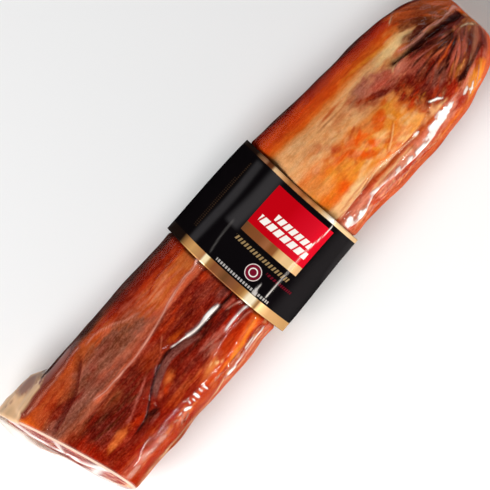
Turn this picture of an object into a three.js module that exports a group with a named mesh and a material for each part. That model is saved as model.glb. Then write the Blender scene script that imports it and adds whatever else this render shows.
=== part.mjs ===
// A vacuum-packed half of a cured pork loin, with a card sleeve round its middle.
// Millimetres. X runs along the loin: the knife cut is at -X, and at +X the end is gathered into
// folds. Z is up, and z = 0 is the table that the pack lies on, under the middle of its outline.
// Both bodies are skins whose radius is a function of the place along the loin and of the turn round
// its section, which is measured from the top and is positive towards +Y.
import * as THREE from 'three';

// Oval section of the loin
const TIP_X = 150.3; // the blunt gathered tip
const SQUARENESS = 2.35; // exponent of the oval: 2 is an ellipse, more is squarer
const REST_PRESS = 2.2; // how far the underside is pressed flat by its own weight

// Stations along the loin: [x, value]. Between them the value runs on a smooth curve.
const CENTRE_LINE = [[-150, -2.4], [-110, -1.9], [-84, -1.1], [-50, -0.6], [-24, -0.2], [40, 0.1],
  [60, -0.8], [84, -2], [104, -2.5], [126, -2.4], [150, -3.4]];
const HALF_WIDTH = [[-150, 35.3], [-110, 35.4], [-84, 34.9], [-50, 34.5], [-24, 34.3], [40, 33.6],
  [60, 32.5], [84, 32.4], [100, 32.1], [114, 30.8], [126, 29]];
const MID_HEIGHT = [[-150, 22], [-60, 23], [0, 23.5], [80, 23], [126, 22], [150, 21]];
const TOP_HEIGHT = [[-150, 45], [-110, 47], [-60, 49], [0, 49.4], [60, 49], [100, 46.5], [126, 43],
  [150, 38]];

// Gathered end: the section shrinks from here to the tip
const GATHER_START = 117;
const GATHER_POINT = 153.2; // where the rounded end would close if the tip were not blunt
const GATHER_ROUND = 2.3;
const GATHER_FLATTEN = 1.25; // the end is flatter than it is narrow
const TIP_DIMPLE = 2.4;

// Knife cut: a plane that leans both along the table and down
const CUT_X = -131; // where the cut crosses the top of the loin
const CUT_ACROSS = -0.24; // the +Y side is left longer
const CUT_DOWN = 0.25; // the underside is left longer
const CUT_TOP = 45;
const CUT_REACH = 75; // the length over which the rows turn from square to slanted
const RIM_ROUND = 3; // rounding of the cut's edge under the film
const CUT_CROWN = 1;

// Card sleeve: flat facets with soft creases between them
const SLEEVE_START = -24.8;
const SLEEVE_END = 32.4;
const SLEEVE_THICK = 0.6;
const SLEEVE_CLEAR = 0.3; // air between the sleeve and the table
// Each facet: degrees from the top, and how far it stands off the loin
const SLEEVE_FACETS = [[0, 0.5], [44, 0.8], [89, 2.2], [136, 0.3], [-136, 0.3], [-90, 2.5], [-50, 0.6]];
const SLEEVE_FLARE = 1.7; // extra stand-off of the -Y side facets at the cut side
const SLEEVE_BOW = 1.4; // how far the sleeve's edges bend towards the cut between the sides
const SLEEVE_BOW_REACH = 36; // distance from the middle at which they are back in line
const CREASE_SHARPNESS = 30;

// The loin is squeezed under the sleeve
const SQUEEZE = 1.4;
const SQUEEZE_EDGE = 5;
const SQUEEZED_RELIEF = 0.15; // how much of the folds is left there

// Folds that run along the loin. Each path is [x, y] as seen from above, or [x, degrees] round from
// the top when turned is true. depth is cut in, lift is added on the side that side names (1 is +Y),
// and ends are the lengths over which the fold starts and dies out.
const FOLDS = [
  // seam between the two muscles, where one lobe rolls over the other
  { path: [[-20, -7.6], [-32, -8], [-45, -8.4], [-54, -7.2], [-62, -4.8], [-67, -4.1], [-74, -5.8],
    [-81, -8.6], [-88, -12.4], [-96, -17], [-108, -19.4]],
    width: 2.4, depth: 1.8, lift: 1.4, side: 1, spread: 7, ends: [10, 14] },
  // raised edge of the flat panel beside the seam
  { path: [[-20, 13.8], [-32, 13.2], [-42, 11.9], [-54, 10], [-64, 7.8], [-74, 6.2], [-88, 5.6],
    [-98, 5.4], [-110, 7]],
    width: 1.5, depth: -0.9, lift: 0.8, side: 1, spread: 7, ends: [8, 8] },
  // diagonal hollow that runs out at the cut
  { path: [[-86, 27.5], [-94, 25.6], [-101, 21.8], [-108, 17.4], [-116, 14.2], [-124, 12], [-134, 10]],
    width: 2.4, depth: 1.4, lift: 0.8, side: 1, spread: 8, ends: [14, 5] },
  // step along the shoulder, from the gathered end to the sleeve
  { path: [[112, -16], [104, -19], [93, -21.6], [84, -22.4], [75, -21.4], [66, -20.2], [58, -21],
    [50, -22.6], [42, -23.1], [30, -23.6]],
    width: 2.2, depth: 2.1, lift: 1.3, side: 1, spread: 7, ends: [12, 14] },
  // the same step on the far side of the sleeve
  { path: [[-12, -28], [-30, -29.4], [-50, -30.6], [-64, -33], [-84, -35], [-104, -34], [-124, -33]],
    width: 2.2, depth: 1, lift: 0.3, side: 1, spread: 5, ends: [10, 16] },
  // short notch beside the bright strip of fat
  { path: [[-18, -19], [-34, -19.6], [-46, -21], [-58, -23]],
    width: 2.1, depth: 1.6, lift: 0.8, side: -1, spread: 5, ends: [6, 10] },
  // dark valley beside the spots of fat near the cut
  { path: [[-86, -14.8], [-96, -17.6], [-106, -19], [-116, -20]],
    width: 2.2, depth: 0.9, lift: 0.5, side: -1, spread: 6, ends: [6, 12] },
  // main cleft of the gathered end and the film crease beside it
  { path: [[152, 1.4], [146, 1.6], [138, 3.2], [130, 4.4], [122, 5.4], [115, 7.6], [109, 9.2], [102, 8]],
    width: 2.2, depth: 3.2, lift: 1.4, side: -1, spread: 9, ends: [1, 8] },
  { path: [[152, 4], [140, 5.4], [130, 6.6], [121, 7.4], [117, 8.6], [111, 12]],
    width: 1.6, depth: -1.2, lift: 0.9, side: 1, spread: 8, ends: [1, 6] },
  // flanks and underside, in degrees round from the top
  { turned: true, path: [[112, 80], [84, 86], [50, 82], [38, 78]],
    width: 3.6, depth: 0.9, lift: 0.5, side: 1, spread: 9, ends: [14, 12] },
  { turned: true, path: [[-26, 86], [-60, 90], [-96, 88]],
    width: 3, depth: 1.2, lift: 0.6, side: -1, spread: 9, ends: [12, 18] },
  { turned: true, path: [[104, -86], [70, -78], [40, -84]],
    width: 3, depth: 1.6, lift: 1.1, side: -1, spread: 9, ends: [16, 14] },
  { turned: true, path: [[-30, -96], [-66, -88], [-108, -94]],
    width: 3.4, depth: 1.7, lift: 1.1, side: 1, spread: 9, ends: [12, 16] },
  { turned: true, path: [[110, 118], [66, 112], [40, 116]],
    width: 3.2, depth: 1.4, lift: 0.8, side: 1, spread: 9, ends: [14, 12] },
  { turned: true, path: [[-30, 122], [-70, 114], [-112, 120]],
    width: 3, depth: 1.5, lift: 0.8, side: -1, spread: 9, ends: [12, 14] },
  { turned: true, path: [[100, -128], [62, -122], [40, -126]],
    width: 3, depth: 1.3, lift: 0.8, side: 1, spread: 9, ends: [14, 10] },
  { turned: true, path: [[-32, -126], [-80, -132], [-118, -124]],
    width: 3.2, depth: 1.4, lift: 0.8, side: -1, spread: 9, ends: [10, 14] },
];

// Broad swellings and hollows: centre x, degrees from the top, half length, half turn, height
const SWELLINGS = [
  { x: -72, turn: -45, long: 50, round: 20, high: 1.9 }, // rolled lobe beside the seam
  { x: -78, turn: 12, long: 34, round: 15, high: -1.5 }, // flat panel
  { x: -86, turn: 30, long: 20, round: 11, high: -1.1 }, // sunken part of it
  { x: 66, turn: 6, long: 42, round: 30, high: 0.8 }, // fat cover
  { x: 93, turn: 16, long: 13, round: 12, high: -1.1 }, // pressed window in the fat
  { x: 134, turn: 38, long: 14, round: 18, high: -1.4 }, // flattened flap of the gathered end
  { x: -112, turn: -20, long: 26, round: 18, high: 0.9 },
];

// Rounded lobe of the gathered end, the ribs that fan over it from the point where film and meat are
// drawn together, and the notch from there to the tip, as seen from above
const LOBE = { x: 119, y: -8, long: 20, wide: 15.5, high: 2.1 };
const GATHER = { x: 142.2, y: -3.4, pit: 2.5, round: 4.8 };
const RIBS = { count: 15, high: 0.8, inner: 4, outer: 36, spread: 1.3 };
const NOTCH = { x: 150, y: -3, long: 7, wide: 5.5, deep: 3.7 };

// Pleats that fan out from the tip round the rest of the end: degrees from the top, depth at the tip
const PLEATS = [[-74, 1.5], [-52, 1.2], [-26, 1.1], [36, 1.2], [56, 1.6], [78, 1.3], [104, 1.8],
  [130, 1.4], [156, 1.7], [-176, 1.4], [-150, 1.8], [-124, 1.3], [-98, 1.7]];
const PLEAT_START = 112;
const PLEAT_WIDTH = 7; // degrees

// Spare film that lies folded at the corner, along the flank and over the face of the cut end
const EAR = { x: -135, turn: 98, long: 19, round: 21, high: 4.8 };
const TONGUE = { path: [[-84, 30.6], [-112, 29.6], [-137, 28.4]], width: 3.2, high: 0.9, ends: [12, 3] };
// Skirt of film that stands out at the foot of the cut
const SKIRT = { turn: 128, round: 30, long: 7, high: 3.8 };
const FACE_FOLDS = [{ turn: -38, high: 1.3, round: 9 }, { turn: 22, high: 0.8, round: 8 },
  { turn: 72, high: 1, round: 10 }, { turn: 160, high: 0.9, round: 12 },
  { turn: -112, high: 0.8, round: 11 }];

// Slow unevenness of the whole skin: length of the wave, waves round, shift, height
const UNEVEN = [{ length: 41, round: 2, shift: 0.6, high: 0.35 },
  { length: 27, round: 3, shift: 2.1, high: 0.3 }, { length: 63, round: 5, shift: 4.4, high: 0.22 }];

// Mesh
const COLUMNS = 60;
const TOP_CROWDING = 0.38; // columns stand closer together on the top than below
const BODY_ROWS = 76;
const END_CROWDING = 0.2; // rows stand closer together at the two ends
const RIM_STEPS = [0, 0.5, 1.5, 3];
const FACE_RINGS = [0.3, 0.62, 0.86];
const TIP_RINGS = [0.8, 0.45];
const SLEEVE_ROWS = 5;

const radians = THREE.MathUtils.degToRad;
const clamp01 = (value) => THREE.MathUtils.clamp(value, 0, 1);
const bell = (value) => Math.exp(-value * value);
const block = (value) => Math.exp(-(value ** 4));
const wrap = (angle) => Math.atan2(Math.sin(angle), Math.cos(angle));

// Smooth step from 0 at from to 1 at to, whichever of them is larger
function ease(from, to, value) {
  const t = clamp01((value - from) / (to - from));
  return t * t * (3 - 2 * t);
}

// Smooth curve through stations, with the slope at each station taken from its neighbours
function along(stations, x) {
  const points = stations[0][0] < stations.at(-1)[0] ? stations : stations.toReversed();
  const last = points.length - 1;
  if (x <= points[0][0]) return points[0][1];
  if (x >= points[last][0]) return points[last][1];
  const slope = (i) => {
    const [a, b] = [points[Math.max(i - 1, 0)], points[Math.min(i + 1, last)]];
    return (b[1] - a[1]) / (b[0] - a[0]);
  };
  const i = points.findIndex((point) => point[0] > x) - 1;
  const [[x0, y0], [x1, y1]] = [points[i], points[i + 1]];
  const [step, t] = [x1 - x0, (x - x0) / (x1 - x0)];
  return (2 * t ** 3 - 3 * t ** 2 + 1) * y0 + (t ** 3 - 2 * t ** 2 + t) * step * slope(i)
    + (3 * t ** 2 - 2 * t ** 3) * y1 + (t ** 3 - t ** 2) * step * slope(i + 1);
}

// How much of the full section is left at x: 1 on the body and less in the gathered end
function gathered(x) {
  const t = clamp01((x - GATHER_START) / (GATHER_POINT - GATHER_START));
  return (1 - t ** GATHER_ROUND) ** (1 / GATHER_ROUND);
}

// Centre and half axes of the oval at x. The half above the centre is not as tall as the half below
function section(x, turn) {
  const narrow = gathered(x);
  const flat = narrow ** GATHER_FLATTEN;
  const middle = along(MID_HEIGHT, x);
  const rise = Math.cos(turn) > 0 ? along(TOP_HEIGHT, x) - middle : middle + REST_PRESS;
  return { y: along(CENTRE_LINE, x), z: middle, half: along(HALF_WIDTH, x) * narrow, rise: rise * flat };
}

function ovalRadius(x, turn) {
  const { half, rise } = section(x, turn);
  const [across, up] = [Math.abs(Math.sin(turn)) / half, Math.abs(Math.cos(turn)) / rise];
  return (across ** SQUARENESS + up ** SQUARENESS) ** (-1 / SQUARENESS);
}

// Point at a radius from the centre of the section, kept above a floor
function pointAt(x, turn, radius, floor) {
  const { y, z } = section(x, turn);
  return new THREE.Vector3(x, y + radius * Math.sin(turn), Math.max(z + radius * Math.cos(turn), floor));
}

// Turn round the section of the point that shows at y when the loin is seen from above
function turnAt(x, y) {
  const { y: centre, half, rise } = section(x, 0);
  const share = THREE.MathUtils.clamp((y - centre) / half, -1, 1);
  return Math.atan2(share * half, rise * (1 - Math.abs(share) ** SQUARENESS) ** (1 / SQUARENESS));
}

function pathTurn(fold, x) {
  const value = along(fold.path, x);
  return fold.turned ? radians(value) : turnAt(x, value);
}

// 1 along the fold, falling to 0 over its two end lengths
function pathFade({ path, ends }, x) {
  const [start, end] = [path[0][0], path.at(-1)[0]];
  const way = Math.sign(end - start);
  return ease(start, start + way * ends[0], x) * ease(end, end - way * ends[1], x);
}

// Height of the folds over the smooth oval
function folds(x, turn) {
  const radius = ovalRadius(x, turn);
  let height = 0;
  for (const fold of FOLDS) {
    const fade = pathFade(fold, x);
    if (fade === 0) continue;
    const gap = wrap(turn - pathTurn(fold, x)) * radius;
    const groove = bell(gap / fold.width);
    const raised = gap * fold.side > 0 ? fold.lift * (1 - groove) * bell(gap / fold.spread) : 0;
    height += fade * (raised - fold.depth * groove);
  }
  for (const { x: centre, turn: middle, long, round, high } of SWELLINGS) {
    height += high * bell((x - centre) / long) * bell(wrap(turn - radians(middle)) / radians(round));
  }
  const pleated = ease(PLEAT_START, TIP_X, x);
  for (const [angle, depth] of PLEATS) {
    height -= pleated * depth * bell(wrap(turn - radians(angle)) / radians(PLEAT_WIDTH));
  }
  for (const { length, round, shift, high } of UNEVEN) {
    height += high * Math.sin((x * 2 * Math.PI) / length + shift) * Math.sin(round * turn + shift);
  }
  return height * Math.min(1, gathered(x) + 0.3);
}

// Lobe, ribs and notch on the upper side of the gathered end. The ribs are waves in the angle about
// the gathering point
function gatheredFace(x, turn) {
  const upper = clamp01(Math.cos(turn) * 2);
  if (upper === 0) return 0;
  const { y } = pointAt(x, turn, ovalRadius(x, turn), 0);
  const lobe = LOBE.high * block(Math.hypot((x - LOBE.x) / LOBE.long, (y - LOBE.y) / LOBE.wide));
  const notch = NOTCH.deep * bell((x - NOTCH.x) / NOTCH.long) * bell((y - NOTCH.y) / NOTCH.wide);
  const reach = Math.hypot(x - GATHER.x, y - GATHER.y);
  const angle = Math.atan2(y - GATHER.y, GATHER.x - x);
  const fan = bell(angle / RIBS.spread) * ease(0, RIBS.inner, reach) * ease(RIBS.outer, RIBS.inner, reach);
  const pit = GATHER.pit * bell(reach / GATHER.round);
  return upper * (lobe + RIBS.high * fan * Math.cos(RIBS.count * angle) - pit - notch);
}

// Spare film: the ear at the corner and the flat tongue along the flank
function spareFilm(x, turn) {
  const round = wrap(turn - radians(EAR.turn)) / radians(EAR.round);
  const ear = EAR.high * block((x - EAR.x) / EAR.long) * block(round);
  const gap = wrap(turn - turnAt(x, along(TONGUE.path, x))) * ovalRadius(x, turn);
  return ear + TONGUE.high * pathFade(TONGUE, x) * block(gap / TONGUE.width);
}

// How far the skirt stands out at a distance from the cut
function skirt(turn, distance) {
  const round = wrap(turn - radians(SKIRT.turn)) / radians(SKIRT.round);
  return SKIRT.high * ease(SKIRT.long, 0, distance) * bell(round);
}

// 1 under the sleeve, 0 clear of it
function underSleeve(x) {
  return ease(SLEEVE_START - SQUEEZE_EDGE, SLEEVE_START - 1, x)
    * ease(SLEEVE_END + SQUEEZE_EDGE, SLEEVE_END + 1, x);
}

// Outer skin of the packed loin. step is the distance from the cut, where the edge is rounded
function skin(x, turn, step) {
  const squeezed = underSleeve(x);
  const relief = (folds(x, turn) + gatheredFace(x, turn)) * (1 - (1 - SQUEEZED_RELIEF) * squeezed);
  const inset = RIM_ROUND - Math.sqrt(RIM_ROUND ** 2 - Math.max(RIM_ROUND - step, 0) ** 2);
  const radius = ovalRadius(x, turn) + relief + spareFilm(x, turn) - squeezed * SQUEEZE - inset;
  return pointAt(x, turn, radius, squeezed * SQUEEZE);
}

const cutPlane = (y, z) => CUT_X + CUT_ACROSS * (y + 1) + CUT_DOWN * (z - CUT_TOP);

const TURNS = Array.from({ length: COLUMNS }, (_, i) => {
  const even = ((i + 0.5) / COLUMNS) * 2 * Math.PI - Math.PI;
  return even - TOP_CROWDING * Math.sin(even);
});

// One row round the loin, slanted near the cut so that the first row lies in the cut's plane
function bodyRow(x, step) {
  const lean = ease(CUT_X + CUT_REACH, CUT_X, x);
  return TURNS.map((turn) => {
    let point = skin(x, turn, step);
    for (let pass = 0; pass < 3; pass += 1) {
      point = skin(x + lean * (cutPlane(point.y, point.z) - CUT_X), turn, step);
    }
    point.x -= skirt(turn, x - CUT_X);
    return point;
  });
}

// Triangles between rows of points that go round in rings. The rows close on themselves if looped
function ringFaces(rowCount, looped, first = 0) {
  const at = (row, column) => first + (row % rowCount) * COLUMNS + (column % COLUMNS);
  const faces = [];
  for (let row = 0; row < rowCount - (looped ? 0 : 1); row += 1) {
    for (let column = 0; column < COLUMNS; column += 1) {
      faces.push(at(row, column), at(row + 1, column), at(row + 1, column + 1));
      faces.push(at(row, column), at(row + 1, column + 1), at(row, column + 1));
    }
  }
  return faces;
}

function geometryOf(points, faces) {
  const geometry = new THREE.BufferGeometry().setFromPoints(points);
  geometry.setIndex(faces);
  geometry.computeVertexNormals();
  return geometry;
}

const middleOf = (row) => row.reduce((sum, point) => sum.add(point), new THREE.Vector3())
  .divideScalar(row.length);

// The knife cut, with the film drawn over it in a few folds
function cutFace(rim) {
  const centre = middleOf(rim);
  const outward = new THREE.Vector3(-1, CUT_ACROSS, CUT_DOWN).normalize();
  const rings = FACE_RINGS.map((share) => TURNS.map((turn, i) => {
    const fold = FACE_FOLDS.reduce((sum, { turn: angle, high, round }) => (
      sum + high * bell(wrap(turn - radians(angle)) / radians(round))), 0);
    const high = CUT_CROWN * (1 - share ** 2) + fold * share * (1 - share) * 4;
    return centre.clone().lerp(rim[i], share).addScaledVector(outward, high);
  }));
  return { rings, centre: centre.clone().addScaledVector(outward, CUT_CROWN) };
}

// The blunt tip, drawn in to a dimple
function tipFace(row) {
  const centre = middleOf(row);
  centre.x -= TIP_DIMPLE;
  const rings = TIP_RINGS.map((share) => row.map((point) => {
    const inner = centre.clone().lerp(point, share);
    inner.x += 2 * TIP_DIMPLE * share * (1 - share);
    return inner;
  }));
  return { rings, centre };
}

function loinInFilm() {
  const rim = RIM_STEPS.map((step) => bodyRow(CUT_X + step, step));
  const body = Array.from({ length: BODY_ROWS }, (_, i) => {
    const even = (i + 1) / BODY_ROWS;
    const share = even - (END_CROWDING * Math.sin(2 * Math.PI * even)) / (2 * Math.PI);
    return bodyRow(THREE.MathUtils.lerp(CUT_X + RIM_ROUND, TIP_X, share), RIM_ROUND);
  });
  const face = cutFace(rim[0]);
  const tip = tipFace(body.at(-1));
  const rows = [...face.rings, ...rim, ...body, ...tip.rings];
  const points = [face.centre, ...rows.flat(), tip.centre];
  const faces = ringFaces(rows.length, false, 1);
  const [last, lastRow] = [points.length - 1, 1 + (rows.length - 1) * COLUMNS];
  for (let column = 0; column < COLUMNS; column += 1) {
    const next = (column + 1) % COLUMNS;
    faces.push(0, 1 + column, 1 + next, last, lastRow + next, lastRow + column);
  }
  return geometryOf(points, faces);
}

// Distance from the section's centre to the flat that touches the oval with its normal at that turn
function supportRadius(x, turn) {
  const { half, rise } = section(x, turn);
  const power = SQUARENESS / (SQUARENESS - 1);
  const [across, up] = [half * Math.abs(Math.sin(turn)), rise * Math.abs(Math.cos(turn))];
  return (across ** power + up ** power) ** (1 / power);
}

// Radius of the sleeve's outer face: facets round the oval, joined by soft creases
function sleeveRadius(x, turn) {
  const flare = ease(SLEEVE_END, SLEEVE_START, x) * SLEEVE_FLARE;
  const sum = SLEEVE_FACETS.reduce((total, [angle, stand]) => {
    const facing = Math.max(Math.cos(turn - radians(angle)), 0);
    const reach = supportRadius(x, radians(angle)) + stand
      + flare * Math.max(-Math.sin(radians(angle)), 0) ** 4;
    return total + (facing / reach) ** CREASE_SHARPNESS;
  }, 0);
  return sum ** (-1 / CREASE_SHARPNESS);
}

// A closed ring of card
function labelSleeve() {
  const wall = (inward) => Array.from({ length: SLEEVE_ROWS + 1 }, (_, i) => {
    const x = THREE.MathUtils.lerp(SLEEVE_START, SLEEVE_END, i / SLEEVE_ROWS);
    return TURNS.map((turn) => {
      const point = pointAt(x, turn, sleeveRadius(x, turn) - inward, SLEEVE_CLEAR + inward);
      point.x += SLEEVE_BOW * (point.y / SLEEVE_BOW_REACH) ** 2;
      return point;
    });
  });
  const rows = [...wall(0), ...wall(SLEEVE_THICK).reverse()];
  return geometryOf(rows.flat(), ringFaces(rows.length, true));
}

function piece(name, geometry, color, roughness) {
  const mesh = new THREE.Mesh(geometry, new THREE.MeshStandardMaterial({ color, roughness, metalness: 0 }));
  mesh.name = name;
  return mesh;
}

const pack = new THREE.Group();
pack.add(piece('loin_in_film', loinInFilm(), '#b4562a', 0.3));
pack.add(piece('label_sleeve', labelSleeve(), '#141414', 0.35));

export default pack;
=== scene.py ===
# %% [markdown]
# # A cured pork loin in a clear vacuum pack
#
# The object is half of a dry cured pork loin. It is shrunk tight in clear film, with a black card
# sleeve round its middle under the film. One end is cut with a knife, the other is gathered into
# folds. Three things make its look: the meat with its lean and fat, the film that bridges every
# groove and carries the highlights, and the printed card between them.
#
# All three are skins round the same axis. So each one is worked out as a radius, a function of the
# place along the loin and of the turn round it, and each fold or patch of colour has its place in
# those two numbers.

# %% Load the fixed model
import math

import bpy
import numpy as np
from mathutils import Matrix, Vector


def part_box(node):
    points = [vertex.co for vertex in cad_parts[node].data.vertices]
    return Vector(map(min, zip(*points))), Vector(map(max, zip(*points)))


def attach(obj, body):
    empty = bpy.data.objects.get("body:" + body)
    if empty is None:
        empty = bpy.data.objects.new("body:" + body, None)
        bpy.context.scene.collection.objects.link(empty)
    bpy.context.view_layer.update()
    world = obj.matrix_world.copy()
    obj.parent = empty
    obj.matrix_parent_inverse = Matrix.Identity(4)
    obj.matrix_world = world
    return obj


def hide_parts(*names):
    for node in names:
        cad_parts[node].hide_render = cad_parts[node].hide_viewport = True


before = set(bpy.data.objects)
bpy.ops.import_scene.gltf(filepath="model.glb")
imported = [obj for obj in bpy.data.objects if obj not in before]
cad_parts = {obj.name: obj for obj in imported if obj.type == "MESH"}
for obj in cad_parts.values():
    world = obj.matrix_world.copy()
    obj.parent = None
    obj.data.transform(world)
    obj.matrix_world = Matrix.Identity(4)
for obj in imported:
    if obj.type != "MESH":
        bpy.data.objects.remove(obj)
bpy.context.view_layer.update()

MM = 0.001
scene = bpy.context.scene
loin_box = [np.array(corner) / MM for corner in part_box("loin_in_film")]
sleeve_box = [np.array(corner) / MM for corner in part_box("label_sleeve")]
print("loin in mm:", loin_box[0].round(1), loin_box[1].round(1))
print("sleeve in mm:", sleeve_box[0].round(1), sleeve_box[1].round(1))

# %% [markdown]
# ## Small helpers for shapes
#
# Soft steps, bells and smooth curves through a few stations are all that the folds need. They take
# whole arrays, so a surface of a hundred thousand points is worked out in one go.

# %% Steps, bells and curves
def ease(start, end, value):
    """Smooth step, 3t^2 - 2t^3, from 0 at start to 1 at end, whichever of them is larger."""
    t = np.clip((value - start) / (end - start), 0, 1)
    return t * t * (3 - 2 * t)


def bell(value):
    """Gauss curve, e to the power of -v^2."""
    return np.exp(-value ** 2)


def block(value):
    """Flat-topped bell, e to the power of -v^4."""
    return np.exp(-value ** 4)


def wrap(angle):
    """The same angle between -pi and pi."""
    return np.arctan2(np.sin(angle), np.cos(angle))


def away(turn, degrees):
    """Angle from a line that runs so many degrees from the top."""
    return wrap(turn - math.radians(degrees))


def along(stations, x):
    """Smooth curve through stations (x, value): cubic pieces whose slopes come from the neighbours."""
    points = np.array(sorted(stations), float)
    place, value = points[:, 0], points[:, 1]
    slope = np.gradient(value, place) if len(place) > 2 else np.full(2, np.diff(value) / np.diff(place))
    x = np.clip(x, place[0], place[-1])
    i = np.clip(np.searchsorted(place, x, side="right") - 1, 0, len(place) - 2)
    step = place[i + 1] - place[i]
    t = (x - place[i]) / step
    start = (2 * t ** 3 - 3 * t ** 2 + 1) * value[i] + (t ** 3 - 2 * t ** 2 + t) * step * slope[i]
    return start + (3 * t ** 2 - 2 * t ** 3) * value[i + 1] + (t ** 3 - t ** 2) * step * slope[i + 1]


# %% Seeded noise
ROUND_MM = 32.0  # a usual radius, to give noise cells round the loin in mm
LATTICE_START = -190
LATTICE_LENGTH = 400


def noise(x, turn, long, fine, seed):
    """Value noise from -1 to 1 with cells of long by fine mm: random numbers on a lattice that closes
    on itself round the loin, blended by smooth steps."""
    around = max(int(round(2 * math.pi * ROUND_MM / fine)), 3)
    rows = int(LATTICE_LENGTH / long) + 4
    lattice = np.random.default_rng(seed).uniform(-1, 1, (rows, around))
    gx = np.clip((x - LATTICE_START) / long, 0, rows - 2)
    gt = (turn / (2 * math.pi)) % 1 * around
    i, j = np.floor(gx).astype(int), np.floor(gt).astype(int) % around
    u, v = ease(0, 1, gx - i), ease(0, 1, gt - np.floor(gt))
    k = (j + 1) % around
    low = lattice[i, j] * (1 - v) + lattice[i, k] * v
    high = lattice[i + 1, j] * (1 - v) + lattice[i + 1, k] * v
    return low * (1 - u) + high * u


def clouds(x, turn, long, fine, seed, octaves=3):
    """Sum of noises, each of half the size and half the strength of the one before."""
    total = sum(noise(x, turn, long / 2 ** n, fine / 2 ** n, seed + n) / 2 ** n for n in range(octaves))
    return total / (2 - 2 ** (1 - octaves))


# %% [markdown]
# ## The oval of the loin
#
# A cured loin is a long muscle with an oval section, flattened below by its own weight. The section
# is a superellipse, a little squarer than an ellipse. Its centre, width and height run along smooth
# curves, and at the gathered end it shrinks on a rounded outline.

# %% Section of the loin
SQUARENESS = 2.35
REST_PRESS = 2.2
CENTRE_LINE = [(-150, -2.4), (-110, -1.9), (-84, -1.1), (-50, -0.6), (-24, -0.2), (40, 0.1), (60, -0.8),
               (84, -2), (104, -2.5), (126, -2.4), (150, -3.4)]
HALF_WIDTH = [(-150, 35), (-110, 35.1), (-84, 34.6), (-50, 34.2), (-24, 34.1), (40, 33.4), (60, 32.3),
              (84, 32.2), (100, 31.9), (114, 30.6), (126, 28.9)]
MID_HEIGHT = [(-150, 22), (-60, 23), (0, 23.5), (80, 23), (126, 22), (150, 21)]
TOP_HEIGHT = [(-150, 45), (-110, 47), (-60, 49), (0, 49.4), (60, 49), (100, 46.5), (126, 43), (150, 38)]
TIP_X = loin_box[1][0] - 0.3
GATHER_START = 117.0
GATHER_POINT = TIP_X + 2.9
GATHER_ROUND = 2.3
GATHER_FLATTEN = 1.25


def gathered(x):
    """Share of the full section left at x: 1 on the body, then (1 - t^n)^(1/n) towards the tip."""
    t = np.clip((x - GATHER_START) / (GATHER_POINT - GATHER_START), 0, 1)
    return (1 - t ** GATHER_ROUND) ** (1 / GATHER_ROUND)


def section(x, turn):
    """Centre y and z, half width, and half height towards the turn asked for."""
    narrow = gathered(x)
    middle = along(MID_HEIGHT, x)
    rise = np.where(np.cos(turn) > 0, along(TOP_HEIGHT, x) - middle, middle + REST_PRESS)
    return along(CENTRE_LINE, x), middle, along(HALF_WIDTH, x) * narrow, rise * narrow ** GATHER_FLATTEN


def oval_radius(x, turn):
    """Superellipse in polar form: (|sin/a|^n + |cos/b|^n)^(-1/n)."""
    _, _, half, rise = section(x, turn)
    sides = np.abs(np.sin(turn) / half) ** SQUARENESS + np.abs(np.cos(turn) / rise) ** SQUARENESS
    return sides ** (-1 / SQUARENESS)


def point_at(x, turn, radius, floor=0.0):
    """Points at a radius from the section's centre, kept above a floor."""
    centre, middle, _, _ = section(x, turn)
    across = centre + radius * np.sin(turn)
    up = np.maximum(middle + radius * np.cos(turn), floor)
    return np.stack([x + 0 * turn, across, up], -1)


def turn_at(x, y):
    """Turn of the place on the skin that is at y in plan."""
    x = np.asarray(x, float)
    centre, _, half, rise = section(x, 0 * x)
    share = np.clip((y - centre) / half, -0.999, 0.999)
    return np.arctan2(share * half, rise * (1 - np.abs(share) ** SQUARENESS) ** (1 / SQUARENESS))


print("tip at", round(TIP_X, 1), "mm, section there", [round(float(v), 1) for v in section(TIP_X, 0.0)])

# %% [markdown]
# ## Folds of the meat
#
# A cured loin is not a smooth log. Two muscles meet in a seam, the fat cover has steps and hollows,
# and the flanks are creased by the net or string that it hung in. Each fold is a line on the skin
# with a groove and a raised side, and it dies out at both ends. The same lines shape the fixed
# model, here they are cut finer and deeper.

# %% Lines on the skin
def off_line(path, x, turn, radius, turned=False):
    """Distance in mm from a line, round the loin: the angle from it times the radius. A path is (x, y)
    in plan, or (x, degrees from the top) if turned."""
    if turned:
        return wrap(turn - np.radians(along(path, x))) * radius
    return wrap(turn - along([(place, float(turn_at(place, y))) for place, y in path], x)) * radius


def line_fade(path, ends, x):
    """1 along a line, easing to 0 over a length at each of its ends."""
    (start, _), (end, _) = path[0], path[-1]
    way = math.copysign(1, end - start)
    return ease(start, start + way * ends[0], x) * ease(end, end - way * ends[1], x)


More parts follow.
